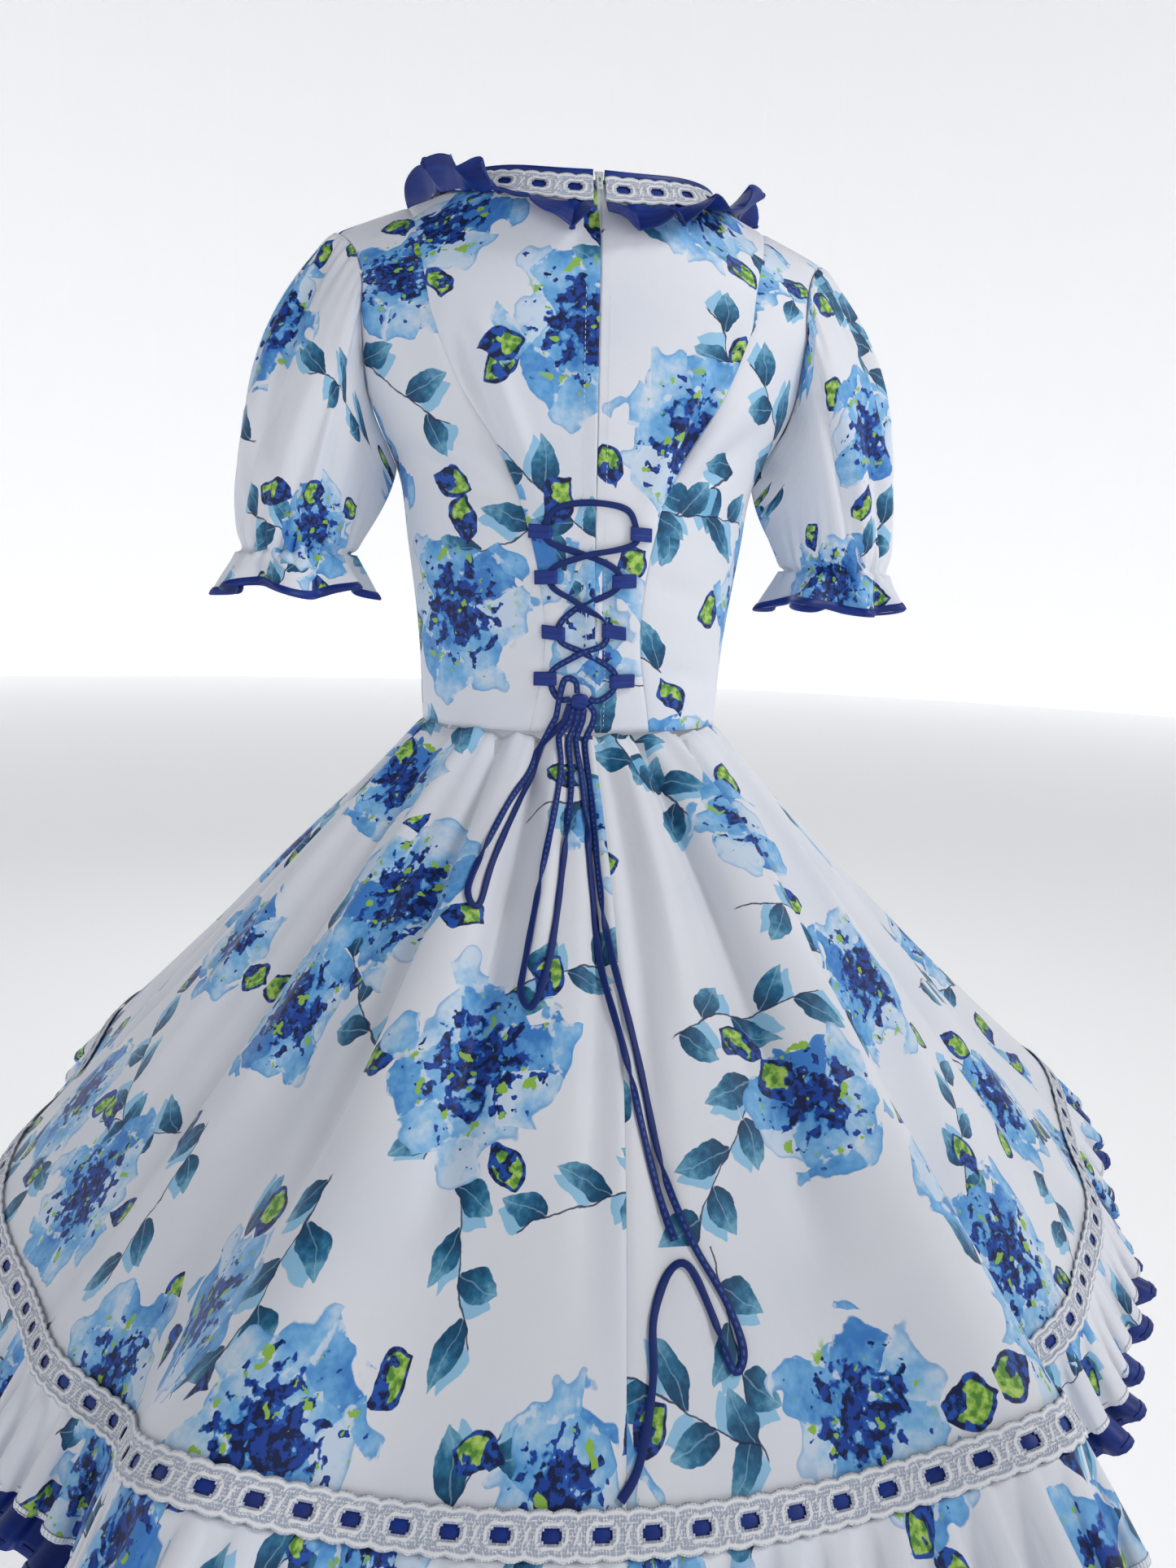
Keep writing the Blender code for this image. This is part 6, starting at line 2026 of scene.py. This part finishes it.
def lay_sprays(tree, under, place, grain):
    """A curved stem with leaves that leave it by turns to either side."""
    x, y, chance = place[1:]
    bend = calc(tree, "MULTIPLY", calc(tree, "SINE", calc(tree, "MULTIPLY", x, 26.0)), 0.0075)
    aside = calc(tree, "SUBTRACT", y, bend)
    side = calc(tree, "SIGN", aside)
    height = calc(tree, "ABSOLUTE", aside)
    near = soft_step(tree, calc(tree, "ABSOLUTE", x), SPRAY_HALF, SPRAY_HALF - 0.003)
    pace = calc(tree, "MULTIPLY_ADD", side, 0.25, calc(tree, "DIVIDE", x, LEAF_PITCH))
    along = calc(tree, "MULTIPLY_ADD", calc(tree, "FRACT", pace), LEAF_PITCH, -0.003)
    number = calc(tree, "MULTIPLY_ADD", calc(tree, "FLOOR", pace), 1.7,
                  calc(tree, "MULTIPLY_ADD", chance, 50.0, side))
    luck = calc(tree, "FRACT", calc(tree, "MULTIPLY", calc(tree, "SINE", number), 437.5))
    slant = math.radians(43)
    length = calc(tree, "MULTIPLY_ADD", along, math.cos(slant),
                  calc(tree, "MULTIPLY", height, math.sin(slant)))
    across = calc(tree, "MULTIPLY_ADD", height, math.cos(slant),
                  calc(tree, "MULTIPLY", along, -math.sin(slant)))
    share = calc(tree, "DIVIDE", length, calc(tree, "MULTIPLY_ADD", luck, 0.35 * LEAF_LENGTH,
                                              0.72 * LEAF_LENGTH))
    held = calc(tree, "MINIMUM", calc(tree, "MAXIMUM", share, 0.0), 1.0)
    inside = calc(tree, "SINE", calc(tree, "MULTIPLY", calc(tree, "POWER", held, 0.85), math.pi))
    off = calc(tree, "MULTIPLY_ADD", inside, -LEAF_WIDTH, calc(tree, "ABSOLUTE", across))
    base = calc(tree, "SUBTRACT", x, along)
    grown = both(tree, soft_step(tree, calc(tree, "ABSOLUTE", base), SPRAY_HALF,
                                 SPRAY_HALF - 0.001),
                 soft_step(tree, luck, 0.10, 0.11), soft_step(tree, share, 1.0, 0.985))
    leaf = both(tree, soft_step(tree, off, 0.0004, -0.0002), grown,
                soft_step(tree, share, 0.01, 0.05))
    shifted = calc(tree, "ADD", across, 0.0070)
    off = calc(tree, "MULTIPLY_ADD", inside, -LEAF_WIDTH, calc(tree, "ABSOLUTE", shifted))
    wash = both(tree, soft_step(tree, off, 0.0006, -0.0002), grown,
                soft_step(tree, share, 0.20, 0.42))
    colour = lay_over(tree, calc(tree, "MULTIPLY", wash, 0.85), under, (0.22, 0.54, 0.80))
    toned = roughened(tree, share, grain, 0.8)
    green = ramp(tree, toned, (0.0, TEAL), (0.30, (0.008, 0.080, 0.18)),
                 (0.58, (0.025, 0.17, 0.32)), (0.90, MIST))
    vein = soft_step(tree, calc(tree, "ABSOLUTE", across), 0.0006, 0.0002)
    green = lay_over(tree, calc(tree, "MULTIPLY", vein, 0.35), green, PALE)
    colour = lay_over(tree, leaf, colour, green)
    stem = both(tree, soft_step(tree, height, 0.0008, 0.0004), near)
    return lay_over(tree, calc(tree, "MULTIPLY", stem, 0.9), colour, NAVY)


def lay_buds(tree, under, x, y, shown, grain, blotch):
    """Dark pointed buds that show green inside their outer half."""
    share = calc(tree, "DIVIDE", x, BUD_LENGTH)
    held = calc(tree, "MINIMUM", calc(tree, "MAXIMUM", share, 0.0), 1.0)
    inside = calc(tree, "SINE", calc(tree, "MULTIPLY", calc(tree, "POWER", held, 1.15), math.pi))
    off = calc(tree, "MULTIPLY_ADD", inside, -BUD_WIDTH, calc(tree, "ABSOLUTE", y))
    bud = both(tree, soft_step(tree, off, 0.0004, -0.0003), soft_step(tree, share, 1.0, 0.985),
               soft_step(tree, share, 0.0, 0.01), shown)
    dark = lay_over(tree, soft_step(tree, grain, 0.42, 0.58), NAVY, (0.015, 0.085, 0.42))
    lit = both(tree, soft_step(tree, off, -0.0030, -0.0040),
               soft_step(tree, roughened(tree, share, blotch, 1.3), 0.46, 0.50))
    green = ramp(tree, grain, (0.40, (0.09, 0.27, 0.05)), (0.52, LIME), (0.66, (0.50, 0.70, 0.16)))
    petal = lay_over(tree, lit, dark, green)
    return lay_over(tree, bud, under, petal)


def mix_print(name):
    paint, tree, shader = new_paint(name, 0.55, 0.15, 0.35, 0.35)
    where = flat_cloth(tree)
    slow = move(tree, "SUBTRACT", noise(tree, where, 34.0, 2.0, 1), (0.5, 0.5, 0.5))
    quick = move(tree, "SUBTRACT", noise(tree, where, 240.0, 1.0, 1), (0.5, 0.5, 0.5))
    wet = move(tree, "MULTIPLY_ADD", slow, (0.011, 0.011, 0), where)
    wet = move(tree, "MULTIPLY_ADD", quick, (0.0011, 0.0011, 0), wet)
    cloud = noise(tree, where, 34.0, 1.2)
    grain = noise(tree, where, 170.0, 3.0)
    blotch = noise(tree, move(tree, "ADD", where, (3.7, 1.9, 0)), 78.0, 2.0)
    # Soft lavender-grey patches laid at random over the white ground are painted shade, not a
    # colour of the cloth.
    colour = lay_over(tree, calc(tree, "MULTIPLY", soft_step(
        tree, noise(tree, where, 9.0, 1.0), 0.42, 0.70), 0.30), WHITE, (0.68, 0.73, 0.84))
    for cell, turn, shift, jitter in ((0.186, 0.5, (0.03, 0.01), 0.55),
                                      (0.205, 1.9, (0.07, 0.05), 0.60)):
        place = motif_places(tree, where, wet, cell, turn, shift, jitter)
        colour = lay_sprays(tree, colour, place, grain)
    place = motif_places(tree, where, wet, 0.176, 0.9, (0.05, 0.09), 0.45)
    spun, x, y, chance = place
    third = 2 * math.pi / 3
    turns = calc(tree, "DIVIDE", calc(tree, "ARCTAN2", y, x), third)
    back = calc(tree, "MULTIPLY", calc(tree, "ROUND", turns), -third)
    turned = add_node(tree, "ShaderNodeVectorRotate", (("Vector", spun), ("Angle", back)),
                      rotation_type="Z_AXIS").outputs[0]
    beside = add_node(tree, "ShaderNodeSeparateXYZ", ((0, turned),))
    reach = calc(tree, "MULTIPLY_ADD", chance, -0.012, -0.040)
    luck = calc(tree, "FRACT", calc(tree, "MULTIPLY", calc(tree, "SINE", calc(
        tree, "MULTIPLY_ADD", calc(tree, "ROUND", turns), 2.3, calc(
            tree, "MULTIPLY", chance, 60.0))), 437.5))
    tilt = calc(tree, "MULTIPLY_ADD", calc(tree, "ADD", beside.outputs[0], reach), 0.35,
                beside.outputs[1])
    colour = lay_buds(tree, colour, calc(tree, "ADD", beside.outputs[0], reach), tilt,
                      soft_step(tree, luck, 0.22, 0.2201), grain, blotch)
    colour = lay_flowers(tree, colour, place, cloud, grain, blotch)
    far = motif_places(tree, where, wet, 0.139, 2.6, (0.02, 0.06), 0.55)
    colour = lay_buds(tree, colour, calc(tree, "ADD", far[1], BUD_LENGTH / 2), far[2],
                      soft_step(tree, far[3], 0.66, 0.6601), grain, blotch)
    tree.links.new(colour, shader.inputs["Base Color"])
    bumpy(tree, shader, noise(tree, where, 55.0, 3.0), 0.0009, 0.5)
    return paint, len(tree.nodes)


print_cloth, print_nodes = mix_print("floral_print_cloth")
print("the print uses", print_nodes, "nodes")

# %% [markdown]
# ## The plain cloths and trims
# The reverse of the print shows only inside the dress: the colours soak
# through faintly, so it is nearly white. The royal-blue cloth has a low
# satin sheen. Lace and tape are matt white thread, the net lets light
# through, and the cord has a line of light-blue dashes along its middle.

# %% Mix the plain cloths


def plain_cloth(name, colour, roughness, sheen=0.1, bump_scale=900.0, bump=0.0002, tone=None,
                specular=0.4):
    paint, tree, shader = new_paint(name, roughness, sheen, 0.4, specular)
    where = flat_cloth(tree)
    if tone:
        patch = soft_step(tree, noise(tree, where, 26.0, 2.0), 0.35, 0.7)
        tree.links.new(lay_over(tree, patch, colour, tone), shader.inputs["Base Color"])
    else:
        shader.inputs["Base Color"].default_value = (*colour, 1)
    bumpy(tree, shader, noise(tree, where, bump_scale, 1.0), bump, 0.5)
    return paint


def cord_cloth(name):
    paint, tree, shader = new_paint(name, 0.55, 0.05, 0.4, 0.3)
    parts = add_node(tree, "ShaderNodeSeparateXYZ", ((0, flat_cloth(tree)),))
    beat = calc(tree, "FRACT", calc(tree, "DIVIDE", parts.outputs[1], 0.0048))
    dash = calc(tree, "MULTIPLY", soft_step(tree, beat, 0.62, 0.54),
                soft_step(tree, beat, 0.0, 0.08))
    line = calc(tree, "ABSOLUTE", calc(tree, "SUBTRACT", parts.outputs[0], 0.25))
    mark = calc(tree, "MULTIPLY", dash, soft_step(tree, line, 0.026, 0.016))
    colour = lay_over(tree, mark, CORD_BLUE, (0.03, 0.09, 0.34))
    tree.links.new(colour, shader.inputs["Base Color"])
    return paint


def lace_cloth(name):
    """Bright raised threads over a net whose holes are painted darker, as painted shade."""
    paint, tree, shader = new_paint(name, 0.75, 0.1)
    where = flat_cloth(tree)
    raised = add_node(tree, "ShaderNodeAttribute", attribute_name="raised").outputs["Fac"]
    hole = add_node(tree, "ShaderNodeTexVoronoi", (("Vector", where), ("Scale", 620.0),
                                                   ("Randomness", 0.35)),
                    voronoi_dimensions="2D").outputs["Distance"]
    thread = calc(tree, "MAXIMUM", soft_step(tree, raised, 0.22, 0.60),
                  soft_step(tree, hole, 0.32, 0.52))
    # The darker colour in the net's holes is painted shade, laid where the bump is low.
    tree.links.new(lay_over(tree, thread, (0.46, 0.52, 0.68), (0.86, 0.88, 0.92)),
                   shader.inputs["Base Color"])
    bumpy(tree, shader, thread, 0.0005)
    return paint


def net_cloth(name):
    paint, tree, shader = new_paint(name, 0.7)
    shader.inputs["Base Color"].default_value = (0.84, 0.86, 0.90, 1)
    shader.inputs["Alpha"].default_value = 0.62
    shader.inputs["Transmission Weight"].default_value = 0.0
    return paint


def zigzag_thread(name):
    paint, tree, shader = new_paint(name, 0.75)
    parts = add_node(tree, "ShaderNodeSeparateXYZ", ((0, flat_cloth(tree)),))
    beat = calc(tree, "FRACT", calc(tree, "DIVIDE", parts.outputs[0], 0.0022))
    tooth = calc(tree, "ABSOLUTE", calc(tree, "SUBTRACT", beat, 0.5))
    # The darker colour between the thread's teeth is painted shade in the grooves that the bump
    # makes.
    tree.links.new(lay_over(tree, soft_step(tree, tooth, 0.10, 0.22), (0.56, 0.61, 0.72),
                            (0.88, 0.89, 0.92)), shader.inputs["Base Color"])
    bumpy(tree, shader, tooth, 0.0006)
    return paint


print_reverse = plain_cloth("floral_print_reverse", (0.74, 0.77, 0.84), 0.7,
                            tone=(0.60, 0.68, 0.80), bump_scale=120.0)
royal = plain_cloth("royal_blue_cloth", ROYAL, 0.48, 0.03, 260.0, 0.0003,
                    tone=(0.004, 0.021, 0.170), specular=0.4)
cord_blue = cord_cloth("royal_blue_cord")
lace_white = lace_cloth("white_lace")
net_white = net_cloth("white_net")
tape_white = plain_cloth("white_tape", (0.82, 0.84, 0.89), 0.6)
thread_white = zigzag_thread("white_thread")
metal, tree, shader = new_paint("zip_metal", 0.34)
shader.inputs["Base Color"].default_value = (0.60, 0.66, 0.64, 1)
shader.inputs["Coat Weight"].default_value = 0.5
print("cloths mixed")

# %% Dress the pieces in their cloths


def dress_piece(piece, nodes, paints, thickness=None, body="dress"):
    for paint in paints:
        piece.data.materials.append(paint)
    if thickness:
        give_wall(piece, thickness)
    place_piece(piece, nodes, body)


SLEEVE_CUT_SHARE = 0.75
NET_CUT_SHARE = 0.60


def cut_size(piece):
    """Width, length and area of a piece's flat cut, all from its flat coordinates."""
    mesh = piece.data
    spots = np.empty(2 * len(mesh.loops))
    mesh.uv_layers["flat_cloth"].data.foreach_get("uv", spots)
    spots = spots.reshape(-1, 2)
    first = np.array([face.loop_start for face in mesh.polygons])
    last = first + np.array([face.loop_total for face in mesh.polygons]) - 1
    following = np.arange(len(spots)) + 1
    following[last] = first
    after = spots[following]
    cross = spots[:, 0] * after[:, 1] - after[:, 0] * spots[:, 1]
    area = np.abs(np.add.reduceat(cross, first)).sum() / 2
    width, length = np.ptp(spots, axis=0)
    return width, length, area


def cut_sheet(piece, shaped=1.0):
    """Print the sheet's flat cut, with the share that its shape leaves."""
    width, length, area = cut_size(piece)
    area = min(area * shaped, width * length)
    print("cut", piece.name, round(width, 3), "x", round(length, 3), "m,", round(area, 4),
          "m2, made up", round(mesh_area(piece) / area, 3))


PRINTED = [print_cloth, print_reverse]
for piece, node in bodice + skirt:
    dress_piece(piece, [node], PRINTED, CLOTH_THICK)
for word, (piece, binding) in sleeves.items():
    nodes = ["sleeve_back_" + word, "sleeve_front_" + word]
    dress_piece(piece, nodes, PRINTED, CLOTH_THICK)
    dress_piece(binding, ["sleeve_binding_" + word], [royal], 0.0003)
    cut_sheet(piece, shaped=SLEEVE_CUT_SHARE)
    cut_sheet(binding)
for piece, node in lace:
    dress_piece(piece, [node], [lace_white], 0.0006)
    cut_sheet(piece)
skirt_pieces = [piece for piece, node in skirt]
dress_piece(hem_ribbon, ["hem_ribbon"], [royal], 0.0004)
cut_sheet(hem_ribbon)
dress_piece(hem_ruffle, ["hem_ruffle"], PRINTED, CLOTH_THICK)
dress_piece(overlock, [], [thread_white], 0.0003)
cut_sheet(hem_ruffle)
dress_piece(under_ruffle, ["under_ruffle"], [royal], CLOTH_THICK)
dress_piece(under_hem, [], [royal], 0.0003)
cut_sheet(under_ruffle)
dress_piece(petticoat, ["petticoat"], [net_white], 0.0005)
dress_piece(net_tape, [], [tape_white], 0.0003)
cut_sheet(petticoat, shaped=NET_CUT_SHARE)
dress_piece(neck_lace, ["neck_lace"], [lace_white], 0.0006)
dress_piece(neck_ribbon, ["neck_ribbon"], [royal], 0.0004)
dress_piece(neck_band, ["neck_band"], [royal], 0.0003)
dress_piece(neck_ruffle, ["neck_ruffle"], [royal], CLOTH_THICK)
cut_sheet(neck_lace)
cut_sheet(neck_ribbon)
cut_sheet(neck_band)
cut_sheet(neck_ruffle)
for piece, node in loops:
    dress_piece(piece, [node], [royal], 0.0008)
dress_piece(coil, ["zip_chain"], [tape_white])
dress_piece(tape, [], [tape_white], 0.0003)
dress_piece(stitches, [], [tape_white])
dress_piece(slider, ["zip_slider"], [metal])
dress_piece(tab, ["zip_pull_tab"], [metal], body="zip_pull_tab")
for piece, node in bodice:
    word = node.rsplit("_", 1)[1]
    cut_sheet(piece)
for piece in skirt_pieces:
    cut_sheet(piece)
dress_piece(knot, ["bow_knot"], [royal])
for name, (piece, line, length) in cords.items():
    dress_piece(piece, [name], [cord_blue])
